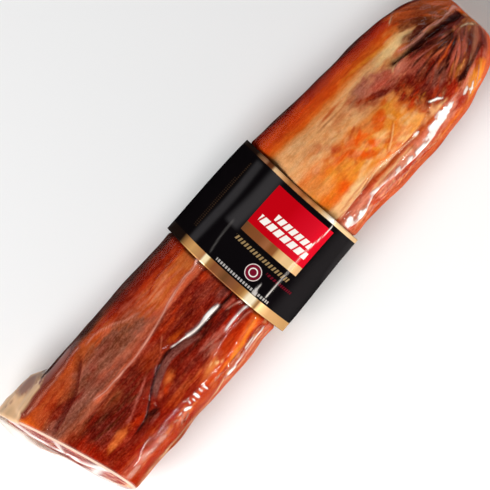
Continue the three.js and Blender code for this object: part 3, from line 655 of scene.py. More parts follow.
# %% Patches of tone
# Patch: x, y in plan, half length, half width, tilt in degrees, tone, strength, softness
PATCHES = [
    # cream cover, from the sleeve to the pressed window
    (46, 9, 14, 6, 0, "peach", 0.7, 0.5), (72, 16.6, 22, 1.1, 1, "tan", 0.7, 0.6),
    (62, 14.5, 12, 1.6, 2, "peach", 0.5, 0.5), (74, 15, 9, 0.7, 4, "orange", 0.6, 0.5),
    (68, 14.6, 8, 0.6, 4, "ember", 0.8, 0.6), (66, 12.4, 7, 0.5, 3, "brown", 0.5, 0.6),
    (54, 5, 8, 3, 0, "cream", 0.6, 0.6), (57, -8, 5, 2.6, 0, "peach", 0.4, 0.6),
    (76, 8, 8, 5, 0, "peach", 0.6, 0.5), (84, 15.2, 9, 1.8, 0, "peach", 0.8, 0.6),
    (42, 2.6, 8, 2, 0, "orange", 0.4, 0.7), (116.6, 14.6, 8.4, 3.6, -8, "beige", 0.95, 0.4),
    (107, 13.6, 8.4, 3.6, 0, "beige", 0.85, 0.5), (97, 15.8, 7, 1.6, 0, "peach", 0.8, 0.6),
    (112, 19.8, 12, 1.3, -6, "orange", 0.8, 0.5), (100, 20.6, 24, 1.8, 0, "orange", 0.7, 0.6),
    (102, 18.4, 18, 1.1, -3, "gold", 0.75, 0.6), (84, 18.4, 12, 0.8, 0, "tan", 0.6, 0.6),
    (114, 10.4, 7, 1.3, -6, "ember", 0.8, 0.5), (103, 10.8, 5, 1.6, 0, "tan", 0.6, 0.6),
    (120, 18.6, 6, 2.2, -20, "tan", 0.7, 0.6),
    # golden fat beside it, with orange blotches
    (88, -11, 11, 8.5, 0, "gold", 0.85, 0.5), (90, -17, 7, 4, -20, "cream", 0.45, 0.7),
    (76, -5, 9, 3, -14, "tan", 0.6, 0.6), (70, -12, 12, 6.4, 4, "orange", 0.3, 0.7),
    (62, -3, 9, 4, -10, "orange", 0.35, 0.8), (72, -12, 10, 6, 0, "gold", 0.85, 0.5),
    (58, -12, 8, 5, 0, "gold", 0.6, 0.6), (95, -8, 4, 6, 0, "tan", 0.8, 0.5),
    (91, -12.4, 3.6, 0.8, -10, "cream", 0.7, 0.6), (95, -14.6, 3, 0.7, 8, "cream", 0.6, 0.6),
    (78, -14.6, 9, 0.5, -24, "ember", 0.75, 0.6), (84, -17, 8, 2.6, 0, "beige", 0.5, 0.6),
    (77, -10.6, 4, 2.4, -20, "beige", 0.5, 0.6), (94, -18.6, 6, 2.8, 0, "gold", 0.95, 0.5),
    (88, -3, 5, 1.6, 0, "gold", 0.8, 0.6), (60, -14.6, 7, 1.4, 20, "beige", 0.5, 0.6),
    (50, -17, 8, 1.6, 0, "beige", 0.6, 0.6), (82.6, -4.2, 3.6, 2.4, 20, "blotch", 0.95, 0.5),
    (80, -6.4, 2.6, 1.8, 40, "blotch", 0.8, 0.5), (85.4, -3, 1.6, 1.2, 0, "blotch", 0.7, 0.6),
    (78.5, -6.4, 2.2, 1.6, 0, "orange", 0.8, 0.5), (71, -9.6, 3.4, 2.4, -30, "blotch", 0.95, 0.4),
    (66.5, -12, 3.4, 2.2, -30, "blotch", 0.95, 0.4), (63, -9.4, 3, 2, -30, "blotch", 0.8, 0.5),
    (60, -5.6, 4.4, 2, -36, "blotch", 0.85, 0.45), (77, -18.4, 4.6, 1.7, -8, "blotch", 0.85, 0.45),
    (70, -18.8, 4.4, 1.3, 0, "orange", 0.75, 0.5), (68, -3.4, 5.6, 1, -14, "blotch", 0.65, 0.5),
    (66, -1, 6, 0.8, -10, "orange", 0.55, 0.6), (57.6, 1.4, 2.2, 2, 0, "rind", 0.75, 0.6),
    (55, -3.4, 2.4, 2.4, 0, "blotch", 0.75, 0.5), (44, 1.8, 1.9, 1.6, 0, "rind", 0.6, 0.6),
    (49, -3, 4, 1.4, 0, "orange", 0.6, 0.6), (44, -12.4, 9, 4, 0, "orange", 0.5, 0.7),
    (50, -6.6, 8, 3, -10, "gold", 0.7, 0.6), (40, -7, 6, 2.6, 0, "peach", 0.5, 0.6),
    (47.6, -14, 4, 2.6, 0, "blotch", 0.9, 0.5), (40, -20, 8, 1.3, 0, "cream", 0.7, 0.5),
    (56, -19.4, 8, 1.2, 0, "cream", 0.7, 0.5), (41, -14.6, 4, 1.8, 14, "orange", 0.8, 0.5),
    (38, -5, 5, 3.6, 0, "tan", 0.6, 0.6), (36, -12, 3, 4, 0, "orange", 0.55, 0.6),
    (90, -0.6, 3, 0.9, 0, "orange", 0.8, 0.6),
    # pressed window with the muscle under thin fat
    (91, 8.2, 12, 6.2, -6, "rose", 0.92, 0.35), (99, 3, 8, 5.2, -30, "rose", 0.92, 0.4),
    (85, 11.6, 6, 2.4, -4, "mauve", 0.6, 0.6), (84, 4, 8, 2, -19, "ember", 0.6, 0.8),
    (88.5, 4.6, 8.6, 1.6, -19, "maroon", 0.95, 0.5), (96, 5, 6, 2, -20, "rind", 0.35, 0.7),
    (83, 6.8, 5, 1.3, -16, "rust", 0.8, 0.6), (79.5, 10, 4, 0.8, 0, "brown", 0.6, 0.6),
    # lobe of the gathered end
    (119.5, -6.8, 19.6, 15.2, 0, "lean", 1, 0.12), (98.8, -9, 3.2, 8.6, 8, "rust", 0.85, 0.6),
    (102, -16, 4, 3.4, 0, "rust", 0.9, 0.5), (106.5, 3.6, 7, 5.4, -10, "salmon", 0.7, 0.5),
    (108, 5, 4, 3, -10, "pink", 0.7, 0.6), (111, 0, 8, 4.6, 0, "rose", 0.6, 0.6),
    (101.4, -5.4, 6, 6.8, 0, "maroon", 0.95, 0.5), (110, -9, 7, 7, 10, "maroon", 0.6, 0.6),
    (108, -13, 6, 4, 20, "wine", 0.7, 0.6), (107, -17.4, 5, 2.6, -30, "maroon", 0.8, 0.5),
    (115, -14.6, 8, 5, 0, "maroon", 0.7, 0.5), (116, -11.6, 5, 2.6, 0, "mauve", 0.7, 0.6),
    (120, -9.4, 4, 2.6, 0, "mauve", 0.8, 0.5), (114, -9.4, 3, 1.8, 0, "mauve", 0.6, 0.6),
    (127, -12.8, 7, 1.1, 10, "tan", 0.7, 0.5), (125, -15.6, 4.4, 0.9, 14, "tan", 0.7, 0.5),
    # the dark patches in this part of the lobe lie in a gap and along its valley: painted shade
    (124, -10, 3.2, 1.2, 10, "dark", 1, 0.4), (128, -1, 10, 3.4, 4, "brown", 0.6, 0.6),
    (117, -19.4, 6, 2.4, 16, "red", 0.95, 0.4), (138, -9, 10.5, 4.4, 10, "rose", 0.9, 0.4),
    (139, -7.4, 7, 0.7, 8, "rose", 0.7, 0.6), (136, -11, 8, 0.6, 10, "rose", 0.6, 0.6),
    (147, -11.4, 4.6, 3, 30, "rose", 0.8, 0.4), (143, -6.6, 4, 0.6, 20, "umber", 0.8, 0.6),
    (140, -14, 9, 3, 16, "mauve", 0.9, 0.5), (133.5, -15.4, 12, 1.8, 13, "wine", 1, 0.4),
    (128, -16.6, 5, 1.7, 10, "brown", 0.9, 0.5), (128, -19, 7, 1.8, 10, "dark", 0.8, 0.5),
    (146, -16, 4, 2, 20, "wine", 0.8, 0.5), (136, -21.6, 7, 2, 6, "red", 0.95, 0.4),
    (127.5, -27, 8, 4.4, 6, "gold", 0.75, 0.4), (132, -26.8, 6, 4, 0, "gold", 0.8, 0.5),
    (134, -22.6, 3, 1.2, 20, "red", 0.6, 0.5), (136, -25, 3, 1.2, 20, "orange", 0.7, 0.5),
    (116, -27.6, 5, 3.6, 10, "red", 0.95, 0.4), (110, -30.4, 6, 1.8, 0, "orange", 0.8, 0.5),
    (106, -31.4, 12, 1.2, 0, "gold", 0.5, 0.6),
    # flap on the other side of the cleft
    (137, 15, 17, 10, -12, "brown", 0.95, 0.2), (133, 12.6, 8, 2.6, -8, "umber", 0.7, 0.6),
    (145, 12, 8, 4.4, -20, "ember", 0.85, 0.6), (131, 22, 9, 1.6, -20, "rust", 0.8, 0.5),
    (124, 21.4, 5, 2.2, -14, "ember", 0.8, 0.5), (147, 5.6, 4.6, 1.4, 0, "orange", 0.8, 0.5),
    (125, 23.4, 5, 1.3, -14, "orange", 0.8, 0.5), (127, 10.6, 5, 1.6, 0, "wine", 0.9, 0.45),
    (120, 12, 4, 1.6, 0, "lean", 0.8, 0.5), (144, 0.4, 4.6, 2.6, 0, "umber", 0.9, 0.5),
    (147.4, -3, 2.6, 3, 0, "brown", 0.6, 0.6),
    # cut half: strip of fat and the panel beside it
    (-34, 18.4, 11, 3.8, 0, "tan", 0.35, 0.6), (-44, 18.6, 9, 3.2, 0, "tan", 0.3, 0.6),
    (-52, 18, 5, 2.2, 0, "peach", 0.3, 0.6), (-30, 22.4, 7, 1.4, 0, "blotch", 0.5, 0.6),
    (-60, 25, 12, 2.6, 0, "rind", 0.5, 0.7), (-68, 13, 10, 2.4, 0, "rose", 0.5, 0.7),
    (-27, 7.4, 3.6, 2.4, 0, "rind", 0.7, 0.6), (-31, 2, 8, 3.4, 0, "mauve", 0.2, 0.7),
    (-28, -4.4, 4, 2.6, 0, "slate", 0.5, 0.6), (-40, 8.4, 9, 1.6, 0, "maroon", 0.6, 0.6),
    (-56, 6, 8, 2, 4, "rind", 0.75, 0.5), (-67, 4.6, 7, 1.6, 4, "red", 0.8, 0.5),
    (-74, 0, 8, 3.6, -8, "rust", 0.8, 0.5), (-58, -1.6, 4, 1.4, -10, "orange", 0.5, 0.6),
    (-87, 1.6, 7, 4.4, 0, "maroon", 0.95, 0.5), (-98, -0.6, 3, 2, 0, "brown", 0.8, 0.6),
    (-62, 20.6, 7, 4, 0, "salmon", 0.5, 0.6), (-72, 27.6, 12, 1.8, 0, "red", 0.8, 0.5),
    # sunken panel
    (-84, 17, 21, 7.4, -7, "taupe", 0.95, 0.3), (-98, 13, 12, 5, -18, "taupe", 0.9, 0.35),
    (-76, 17.6, 9, 0.9, -10, "umber", 0.6, 0.5), (-80, 15.4, 7, 0.8, -12, "umber", 0.55, 0.5),
    (-71, 20.4, 5, 1.2, -20, "brown", 0.8, 0.6), (-79, 23.6, 5, 1, -20, "salmon", 0.5, 0.6),
    (-91, 23.6, 6, 1.4, 10, "brown", 0.8, 0.5), (-94, 11, 9, 1.6, -8, "rose", 0.5, 0.7),
    (-100, 19, 5, 2.4, -30, "mauve", 0.8, 0.5), (-88, 19, 6, 1.6, 0, "rose", 0.35, 0.7),
    (-76, 10.4, 18, 1.6, -6, "salmon", 0.6, 0.6), (-118, 7, 13, 3.6, 0, "taupe", 0.8, 0.6),
    (-104, 4.6, 9, 1.6, 0, "salmon", 0.5, 0.6),
    # middle of the cut half
    (-110, -5, 14, 5, 0, "maroon", 0.9, 0.45), (-114, -7, 9, 4.4, 0, "wine", 0.8, 0.6),
    (-101, 0, 8, 3, 0, "brown", 0.5, 0.7), (-100, -8.4, 6, 1.8, 0, "wine", 0.7, 0.6),
    (-92, -1.6, 5, 1.6, 0, "wine", 0.6, 0.6), (-124, 2, 6, 3, 0, "brown", 0.5, 0.6),
    (-127, -8, 5, 9, 0, "red", 0.75, 0.5),
    # right of the seam; its thin dark strips lie in grooves, as painted shade
    (-60, -15.6, 16, 4.8, 6, "maroon", 1, 0.35), (-36, -12.2, 10, 1, 6, "wine", 0.95, 0.45),
    (-31, -14.6, 7, 1.2, 0, "red", 0.9, 0.5), (-34, -17.8, 7, 0.8, 0, "rind", 0.8, 0.5),
    (-43, -16, 6, 1.6, -6, "rose", 0.7, 0.5), (-50, -18.4, 7, 1.2, -6, "pink", 0.4, 0.6),
    (-52, -14.6, 5, 0.9, 0, "rose", 0.6, 0.6), (-50, -10.8, 10, 0.9, 4, "dark", 0.85, 0.5),
    (-76, -13.2, 5.6, 1.8, 14, "ember", 0.95, 0.5), (-75, -13, 3, 0.9, 14, "tan", 0.3, 0.6),
    (-79.4, -15, 3.4, 1.2, 14, "rind", 0.9, 0.5), (-84, -14.8, 2.6, 1, 14, "salmon", 0.5, 0.6),
    (-33, -24.8, 11, 2.6, 12, "orange", 1, 0.35), (-34, -25.2, 8, 1.2, 12, "gold", 0.7, 0.6),
    (-28, -22.6, 6, 1.2, 10, "ember", 0.8, 0.5), (-44, -25.8, 9, 1.8, 10, "orange", 0.9, 0.5),
    (-47, -27, 9, 1, 4, "gold", 0.8, 0.5), (-57, -27.8, 7, 0.7, 0, "orange", 0.9, 0.5),
    (-43, -21.6, 8, 1.6, 12, "rind", 0.8, 0.5), (-56, -22, 6, 2.4, 6, "salmon", 0.6, 0.5),
    (-59, -23.4, 5, 1.8, 10, "tan", 0.75, 0.6), (-52.5, -24.6, 1.3, 0.5, 10, "beige", 0.9, 0.5),
    (-54.8, -23.6, 1.2, 0.5, -10, "beige", 0.9, 0.5), (-57.4, -22, 1.5, 0.4, 20, "cream", 0.8, 0.5),
    (-73, -21, 9, 4, 0, "lean", 0.8, 0.6), (-84, -24, 9, 4.4, 0, "red", 0.6, 0.6),
    (-112, -14, 7.6, 1.9, 3, "ember", 0.85, 0.5), (-110, -13.8, 4, 1.2, 0, "tan", 0.3, 0.6),
    (-117, -14.6, 3, 1.1, 0, "tan", 0.4, 0.6), (-100, -14.6, 4, 1.2, 0, "rind", 0.7, 0.6),
    (-98, -19.6, 7, 0.8, 4, "slate", 0.9, 0.4), (-97, -17.8, 8, 1, 4, "dark", 0.9, 0.4),
    (-108, -20.4, 10, 1.4, 2, "maroon", 0.9, 0.5), (-118, -29, 11, 2.4, 0, "pink", 0.4, 0.7),
    (-99, -28.6, 5, 1.8, 0, "pink", 0.5, 0.6), (-84, -29.6, 4, 1.4, 0, "pink", 0.5, 0.6),
    (-88, -32.4, 9, 1.2, 20, "umber", 0.5, 0.6), (-34, -32.2, 12, 1.8, 0, "pink", 0.55, 0.6),
    (-52, -31.6, 8, 1.2, 0, "pink", 0.45, 0.6),
    # strip between the tongue of film and the diagonal hollow
    (-112, 24, 16, 2.8, -5, "rust", 0.95, 0.4), (-104, 24.6, 7, 1.6, -8, "ember", 0.8, 0.6),
    (-118, 21, 10, 1.6, -6, "ember", 0.5, 0.6), (-129, 19, 11, 3.4, -8, "rust", 0.8, 0.5),
    (-138, 22.4, 4, 6, 0, "orange", 0.8, 0.5), (-139.6, 24, 2, 4, 0, "gold", 0.7, 0.6),
    (-119, 14.6, 11, 1.9, -8, "lean", 1, 0.5),
]
print(len(PATCHES), "patches of tone")

# %% Fibres and mottles
# Fibres: x, y in plan, half length, half width, tilt in degrees, pitch, tone, strength
FIBRES = [
    (137, 15, 14, 8, -33, 1.5, "ember", 0.9), (137, 14, 14, 9, -31, 1.3, "umber", 0.7),
    (120, -6, 16, 12, 0, 1.6, "umber", 0.5), (138, -9, 9, 5, 10, 1.2, "wine", 0.45),
    (112, -15, 9, 6, 20, 1.1, "rind", 0.5), (99, -11, 5, 9, 8, 0.9, "tan", 0.5),
    (92, 8, 12, 5, -8, 1.1, "pink", 0.25), (96, 7, 12, 5, -10, 1, "mauve", 0.25),
    (75, 12, 14, 5, 4, 1.1, "ember", 0.5), (72, 3, 14, 4, -10, 1.3, "ember", 0.6),
    (68, -10, 18, 9, -14, 1.4, "orange", 0.5), (60, -27, 30, 5, 2, 1.2, "rind", 0.8),
    (100, -30, 18, 4, 0, 1, "rind", 0.6), (70, 25, 36, 5, 0, 1, "rind", 0.5),
    (-44, 22, 18, 8, -3, 1.2, "rind", 0.7), (-52, 19, 22, 8, -6, 1, "pink", 0.35),
    (-86, 18, 20, 8, -9, 1.3, "umber", 0.4), (-86, 15, 20, 8, -9, 1.3, "pink", 0.2),
    (-50, 0, 30, 7, 0, 1, "maroon", 0.8), (-60, 3, 32, 7, -4, 1.3, "rust", 0.2),
    (-104, -3, 24, 8, -2, 1, "umber", 0.7), (-100, -4, 26, 8, -4, 1.3, "dark", 0.4),
    (-60, 25, 30, 5, 0, 1.2, "lean", 0.5), (-112, 10, 16, 6, -6, 1.1, "mauve", 0.5),
    (-48, -25, 16, 3, 4, 0.9, "ember", 0.6), (-108, -8, 14, 4, -2, 0.7, "rose", 0.3),
    (-40, -16, 16, 6, 6, 0.9, "wine", 0.7), (-85, -25, 34, 7, 3, 1.1, "ember", 0.55),
    (-90, -24, 34, 7, 2, 1.3, "lean", 0.6), (-118, 22, 18, 6, -5, 1, "ember", 0.35),
    (-45, -30, 22, 4, 3, 1, "rind", 0.6),
]
# Mottles: x, y in plan, half length, half width, tilt, cell length and width, tone, strength
MOTTLES = [
    (72, -8, 28, 14, -16, 7, 4, "orange", 0.6), (80, -12, 20, 10, 10, 5, 3, "beige", 0.35),
    (64, -4, 20, 16, -20, 4, 2.4, "ember", 0.5), (70, -10, 26, 12, -30, 3, 1.8, "gold", 0.4),
    (56, 8, 24, 9, 4, 6, 3, "cream", 0.45), (56, 8, 24, 9, -6, 3.4, 1.8, "tan", 0.4),
    (78, -31, 36, 4, 0, 4, 2, "rind", 0.75), (70, -30, 44, 6, 4, 3, 1.5, "pink", 0.7),
    (60, -26, 36, 4, 0, 3.4, 1.6, "brown", 0.6), (66, -30.4, 42, 5, 2, 2.6, 1.2, "cream", 0.5),
    (60, -29, 40, 6, -2, 3, 1.3, "red", 0.5), (48, -29, 16, 6, 0, 3, 1.4, "pink", 0.7),
    (50, -27, 18, 6, 8, 4, 1.2, "rust", 0.6), (70, 25, 44, 5, 0, 9, 3, "rind", 0.5),
    (92, 7, 14, 7, 0, 3, 2, "mauve", 0.25), (106, -9, 9, 10, 0, 3.4, 2, "wine", 0.6),
    (100, -10, 5, 10, 0, 2.4, 1.4, "rind", 0.7), (117, -10, 9, 7, 10, 4, 2, "mauve", 0.4),
    (-44, 1, 26, 9, -2, 9, 2.8, "wine", 0.5), (-48, 3, 26, 7, -4, 7, 2.2, "rust", 0.3),
    (-44, 18, 18, 7, -2, 8, 3, "rust", 0.45), (-44, 18, 18, 7, 2, 6, 2.4, "tan", 0.3),
    (-84, 18, 24, 8, -8, 9, 3, "umber", 0.35), (-80, 0, 18, 7, -8, 8, 2.6, "wine", 0.4),
    (-100, -3, 24, 9, -2, 8, 2.2, "dark", 0.4), (-64, -16, 22, 7, 6, 8, 2.4, "wine", 0.7),
    (-66, -17.6, 13, 4.6, 6, 9, 3.4, "wine", 0.6), (-95, -25, 34, 8, 0, 9, 3, "lean", 0.65),
    (-90, -30, 36, 4, 0, 4, 2, "tan", 0.4), (-42, -31, 22, 5, 2, 3.4, 1.8, "red", 0.7),
    (-42, -31.6, 22, 4, 2, 3, 1.2, "cream", 0.55), (-112, 22, 20, 7, -6, 9, 3, "red", 0.6),
    (-118, 5, 16, 5, 0, 8, 2.4, "brown", 0.4),
]
# Mottles of the flanks and the underside: tone, strength, cell length and width
FLANKS = [("maroon", 0.6, 40, 12), ("tan", 0.6, 32, 9), ("rose", 0.5, 22, 5), ("umber", 0.5, 18, 7),
          ("cream", 0.45, 26, 3.4)]
print(len(FIBRES), "fields of fibres and", len(MOTTLES), "of mottles")

# %% Bands of tone
# Band: path in plan, width on the +Y side and on the -Y side, end lengths, tone, strength, softness
BANDS = [
    # cleft of the gathered end, with a rosy side and a dark side of painted shade
    ([(149, 2), (140, 2.6), (130, 4), (122, 5), (115, 7.2)], 2.2, 3.6, (1, 5), "wine", 1, 0.8),
    ([(149, 2.8), (140, 3.4), (130, 4.6), (122, 5.6), (115, 7.6), (109, 9), (104, 8.6)], 1, 2.2, (1, 3),
     "dark", 0.95, 0.8),
    # darker bands and thin dark lines in the grooves and in the gaps between the ribs: painted shade
    ([(146, -2), (142, -1), (136, 1)], 2.4, 1.6, (1, 4), "wine", 0.75, 1),
    ([(133, 9.4), (126, 10), (118, 10.6)], 0.8, 0.8, (3, 3), "wine", 0.9, 0.6),
    ([(139, -2), (131, 0), (122, 2.6), (112, 3.8)], 0.35, 0.35, (2, 4), "dark", 0.9, 0.5),
    ([(139, -2.6), (130, -1.2), (120, 0.2), (109, 0.4)], 0.3, 0.3, (2, 4), "dark", 0.9, 0.5),
    ([(138, -3.2), (128, -3), (118, -2.8), (107, -3.4)], 0.35, 0.35, (2, 4), "dark", 0.9, 0.5),
    ([(137, -4), (128, -5), (119, -6), (109, -7)], 0.4, 0.4, (2, 4), "dark", 0.9, 0.5),
    ([(138, -5), (130, -7.4), (123, -9.4), (114, -10.6)], 0.5, 0.5, (2, 4), "dark", 0.9, 0.5),
    ([(134, -8), (130, -10), (124, -14), (117, -17)], 0.4, 0.5, (3, 4), "dark", 0.8, 0.5),
    ([(146, -15), (137, -18), (129, -19.4), (120, -18)], 0.9, 1.2, (3, 3), "dark", 0.85, 0.7),
    # lighter lines on the crests of the ribs and on the ridge beside the cleft: painted light
    ([(135, -4.6), (126, -6.6), (117, -8.4)], 0.3, 0.3, (3, 3), "ember", 0.8, 0.5),
    ([(131, -12), (126, -13.4), (122, -15.4), (118, -17.4)], 0.4, 0.4, (2, 3), "salmon", 0.7, 0.6),
    ([(129, -9.4), (124, -11.4), (119, -13)], 0.3, 0.3, (2, 3), "rose", 0.8, 0.5),
    ([(135, -1.2), (126, -0.6), (113, 2)], 0.3, 0.3, (3, 3), "rose", 0.8, 0.5),
    ([(141.6, -1), (138.4, -2)], 0.6, 0.6, (1, 1), "salmon", 0.8, 0.5),
    ([(138, 6.6), (128, 8), (119, 9)], 0.7, 0.7, (3, 4), "pink", 0.8, 0.6),
    ([(110, 8), (105, 7.4), (102, 5)], 0.5, 0.5, (2, 2), "cream", 0.6, 0.6),
    # lines in the golden fat and in the cover
    ([(73, 2.4), (69, 0.8), (64, -1)], 0.5, 0.5, (2, 2), "ember", 0.8, 0.6),
    ([(73.4, -1), (69, -2.8), (64.4, -4.8)], 0.7, 0.7, (2, 2), "blotch", 0.8, 0.6),
    ([(87, -9), (80, -13.2), (72.6, -17)], 0.35, 0.35, (2, 2), "rust", 0.5, 0.5),
    ([(86, -10.4), (79.6, -14.4), (73, -18)], 0.3, 0.3, (2, 2), "cream", 0.7, 0.4),
    ([(98, 15.4), (88, 14.8), (79, 15.6), (70, 16)], 0.3, 0.3, (3, 4), "cream", 0.5, 0.5),
    # seam, with painted shade in its groove, and the lip beside it
    ([(-22, -7.8), (-40, -8.6), (-54, -7.4), (-62, -5), (-67, -4.3), (-74, -6), (-81, -8.8), (-88, -12.4)],
     0.2, 0.75, (3, 4), "dark", 0.95, 0.4),
    ([(-48, -9.4), (-60, -7.2), (-70, -6.8), (-80, -9.8), (-88, -13.4)], 1.3, 1.7, (8, 4), "slate", 1, 0.6),
    ([(-88, -12.4), (-96, -16.4), (-108, -18.6)], 0.5, 0.7, (3, 6), "dark", 0.8, 0.5),
    # diagonal hollow, with painted shade in it
    ([(-94, 25.8), (-101, 21.8), (-108, 17.4), (-116, 14.2), (-124, 12), (-133, 10.4)], 0.6, 1, (5, 4),
     "wine", 0.85, 0.7),
    ([(-60, 18.4), (-67, 19.8), (-75, 23.4), (-84, 26.8), (-92, 26.8)], 0.3, 0.3, (3, 5), "pink", 0.7, 0.5),
    # beside the shoulder fold: its dark lines are painted shade in the step
    ([(100, -20.5), (88, -23.2), (80, -23.2), (70, -22.2), (60, -22), (50, -23.6), (34, -24.2)], 0.2, 0.4,
     (6, 2), "red", 0.5, 0.5),
    ([(56, -22.2), (44, -22.8), (33, -23)], 0.3, 0.3, (3, 1), "maroon", 0.8, 0.4),
    ([(90, -21.4), (80, -20.8), (70, -19), (60, -18.4), (50, -18.8), (36, -20)], 0.3, 0.3, (4, 3), "ember",
     0.6, 0.5),
    ([(84, -24.6), (74, -24.2), (64, -23.6), (54, -24.6)], 0.35, 0.35, (3, 3), "cream", 0.7, 0.5),
    ([(-81, -3.8), (-92, -8.2), (-100, -11), (-106, -12.4)], 0.4, 0.4, (3, 5), "rose", 0.7, 0.7),
    ([(-62, 3.6), (-70, -2.6)], 0.3, 0.3, (1, 2), "salmon", 0.7, 0.4),
    ([(-26, -10.2), (-34, -9.4)], 0.6, 0.6, (1, 2), "rose", 0.6, 0.5),
    # light line along the panel's raised edge, a painted highlight, then a dark line of painted shade in a
    # groove
    ([(-24, 13.6), (-32, 13.2), (-42, 11.9), (-54, 10), (-64, 7.8), (-74, 6.2), (-88, 5.6), (-100, 5.6)],
     0.35, 0.25, (1, 6), "pink", 0.75, 0.35),
    ([(-36, 24.2), (-47, 23.4), (-54, 20.4)], 0.3, 0.4, (3, 3), "red", 0.7, 0.4),
]
print(len(BANDS), "bands of tone")

# %% Painting
RAGGED_LONG = 2.4
RAGGED_WIDE = 1.0
RAGGED_EDGE = 0.30
PAINTED_LIGHT_ZONE = (118, 132)  # where the colour is brightened towards the gathered end: painted light
PAINTED_LIGHT_SHARE = 0.2


def on_mark(x, turn, radius, place, tilt, push_x=0, push_u=0):
    """Distances in mm along and across a mark whose place is in plan: the distance along the loin and
    the one round it (angle times radius), each pushed a little, then turned by the tilt in degrees."""
    dx = x - place[0] + push_x
    du = wrap(turn - float(turn_at(*place))) * radius + push_u
    c, s = math.cos(math.radians(tilt)), math.sin(math.radians(tilt))
    return dx * c + du * s, du * c - dx * s


def paint(x, turn, radius):
    """Tones laid over each other: colour = colour (1 - mask) + tone mask. The distances are warped by
    slow noise, fine noise frays the edges, and a third one thins the patches. Mottles are where a noise
    of their own cells is high. Towards the gathered end the colour is brightened: painted light."""
    warp_x = RAGGED_LONG * clouds(x, turn, 16, 7, 41) + 0.8 * noise(x, turn, 3, 2, 45)
    warp_u = RAGGED_WIDE * clouds(x, turn, 13, 5, 51) + 0.45 * noise(x, turn, 3.4, 1.5, 55)
    fray = RAGGED_EDGE * (clouds(x, turn, 5, 2.4, 47, 2) + 0.7 * noise(x, turn, 1.9, 0.9, 49))
    thin = 1 - 0.3 * ease(0.1, 0.8, clouds(x, turn, 4, 1.6, 57, 2))
    moved = turn + 0.8 * warp_u / radius + 0.3 * fray / radius
    colour = base_tone(x, moved)
    for place_x, place_y, long, wide, tilt, tone, strength, soft in PATCHES:
        push = (warp_x * min(1, long / 8), warp_u * min(1, wide / 4))
        run, off = on_mark(x, turn, radius, (place_x, place_y), tilt, *push)
        mask = strength * thin * ease(1 + soft, 1 - soft, np.hypot(run / long, off / wide) + fray)
        colour = blend(colour, tone, mask)
    for n, (place_x, place_y, long, wide, tilt, pitch, tone, strength) in enumerate(FIBRES):
        run, off = on_mark(x, turn, radius, (place_x, place_y), tilt, 0, 0.4 * warp_u)
        within = block(run / long) * block(off / wide)
        colour = blend(colour, tone, strength * within * ease(0.05, 0.7, combed(run, off, pitch, 200 + n)))
    for n, (place_x, place_y, long, wide, tilt, cell_long, cell_wide, tone, strength) in enumerate(MOTTLES):
        run, off = on_mark(x, turn, radius, (place_x, place_y), tilt, 0, 0.3 * warp_u)
        within = block(run / long) * block(off / wide)
        mottle = clouds(run, off / ROUND_MM, cell_long, cell_wide, 300 + 3 * n, 2)
        colour = blend(colour, tone, strength * within * ease(0.12, 0.5, mottle))
    below = ease(0.05, -0.3, np.cos(turn))
    for n, (tone, strength, cell_long, cell_wide) in enumerate(FLANKS):
        mottle = clouds(x, moved, cell_long, cell_wide, 420 + 3 * n)
        colour = blend(colour, tone, strength * below * ease(0.1, 0.45, mottle))
    for path, left, right, ends, tone, strength, soft in BANDS:
        gap = off_line(path, x, turn, radius) + 0.25 * warp_u
        mask = ease(left + soft, left - soft * 0.6, gap) * ease(-right - soft, -right + soft * 0.6, gap)
        colour = blend(colour, tone, strength * line_fade(path, ends, x) * mask)
    return colour * (1 + PAINTED_LIGHT_SHARE * ease(*PAINTED_LIGHT_ZONE, x)[..., None])


# %% Grain, and painted shade and light on the ribs
WARMTH = np.array([0.98, 0.89, 0.80])
RIB_SHADE_AND_LIGHT = dict(inner=(2, 5), outer=(30, 16), spread=1.15, edge=(-1.05, -0.6))


def add_grain(colour, x, turn):
    """Streaks along the fibres, blotches and specks: colour^(1 + b) shifts the hue as it darkens. The
    whole is made a little warmer, as meat is under film."""
    light = colour @ np.array([0.3, 0.6, 0.1])
    lean = ease(0.30, 0.05, light)
    streaks = clouds(x, turn, 14, 1.5, 61, 2)
    blotches = clouds(x, turn, 7, 4, 71, 2)
    specks = clouds(x, turn, 2.2, 1.5, 77, 2)
    pale = ease(0.25, 0.75, specks) * (0.2 + 0.3 * lean)
    power = 1 + (0.10 + 0.10 * lean) * blotches + 0.05 * streaks
    shade = 1 + (0.10 + 0.14 * lean) * streaks + 0.10 * specks
    mixed = colour ** power[..., None] * shade[..., None]
    mixed = mixed * (1 - 0.25 * pale[..., None]) + 0.25 * pale[..., None] * linear(TONES["salmon"])
    return np.clip(mixed * WARMTH, 0.0015, 0.95), lean


def paint_rib_shade_and_light(colour, x, turn):
    """Painted shade in the gaps and painted light on the crests of ribs that fan out from the gathering
    point: waves in the angle about it.
    """
    y = point_at(x, turn, oval_radius(x, turn))[..., 1]
    reach, angle = about_gather(x, y)
    wave = rib_wave(reach, angle, 0.07 * noise(x, turn, 9, 5, 23), 0.45, 0.65)
    wave = wave + 0.35 * noise(x, turn, 6, 1.4, 29)
    fan = ease(*RIB_SHADE_AND_LIGHT["inner"], reach) * ease(*RIB_SHADE_AND_LIGHT["outer"], reach)
    fan = fan * bell(angle / RIB_SHADE_AND_LIGHT["spread"]) * upper_side(turn) * ease(*RIB_SHADE_AND_LIGHT["edge"], angle)
    colour = blend(colour, "dark", 0.75 * fan * ease(-0.35, -0.85, wave))
    return blend(colour, "salmon", 0.25 * fan * ease(0.45, 1.1, wave))


tone = paint(x, turn, oval_radius(x, turn))
tone = paint_rib_shade_and_light(tone, x, turn)
tone, lean = add_grain(tone, x, turn)
print("mean tone", tone.mean((0, 1)).round(3))

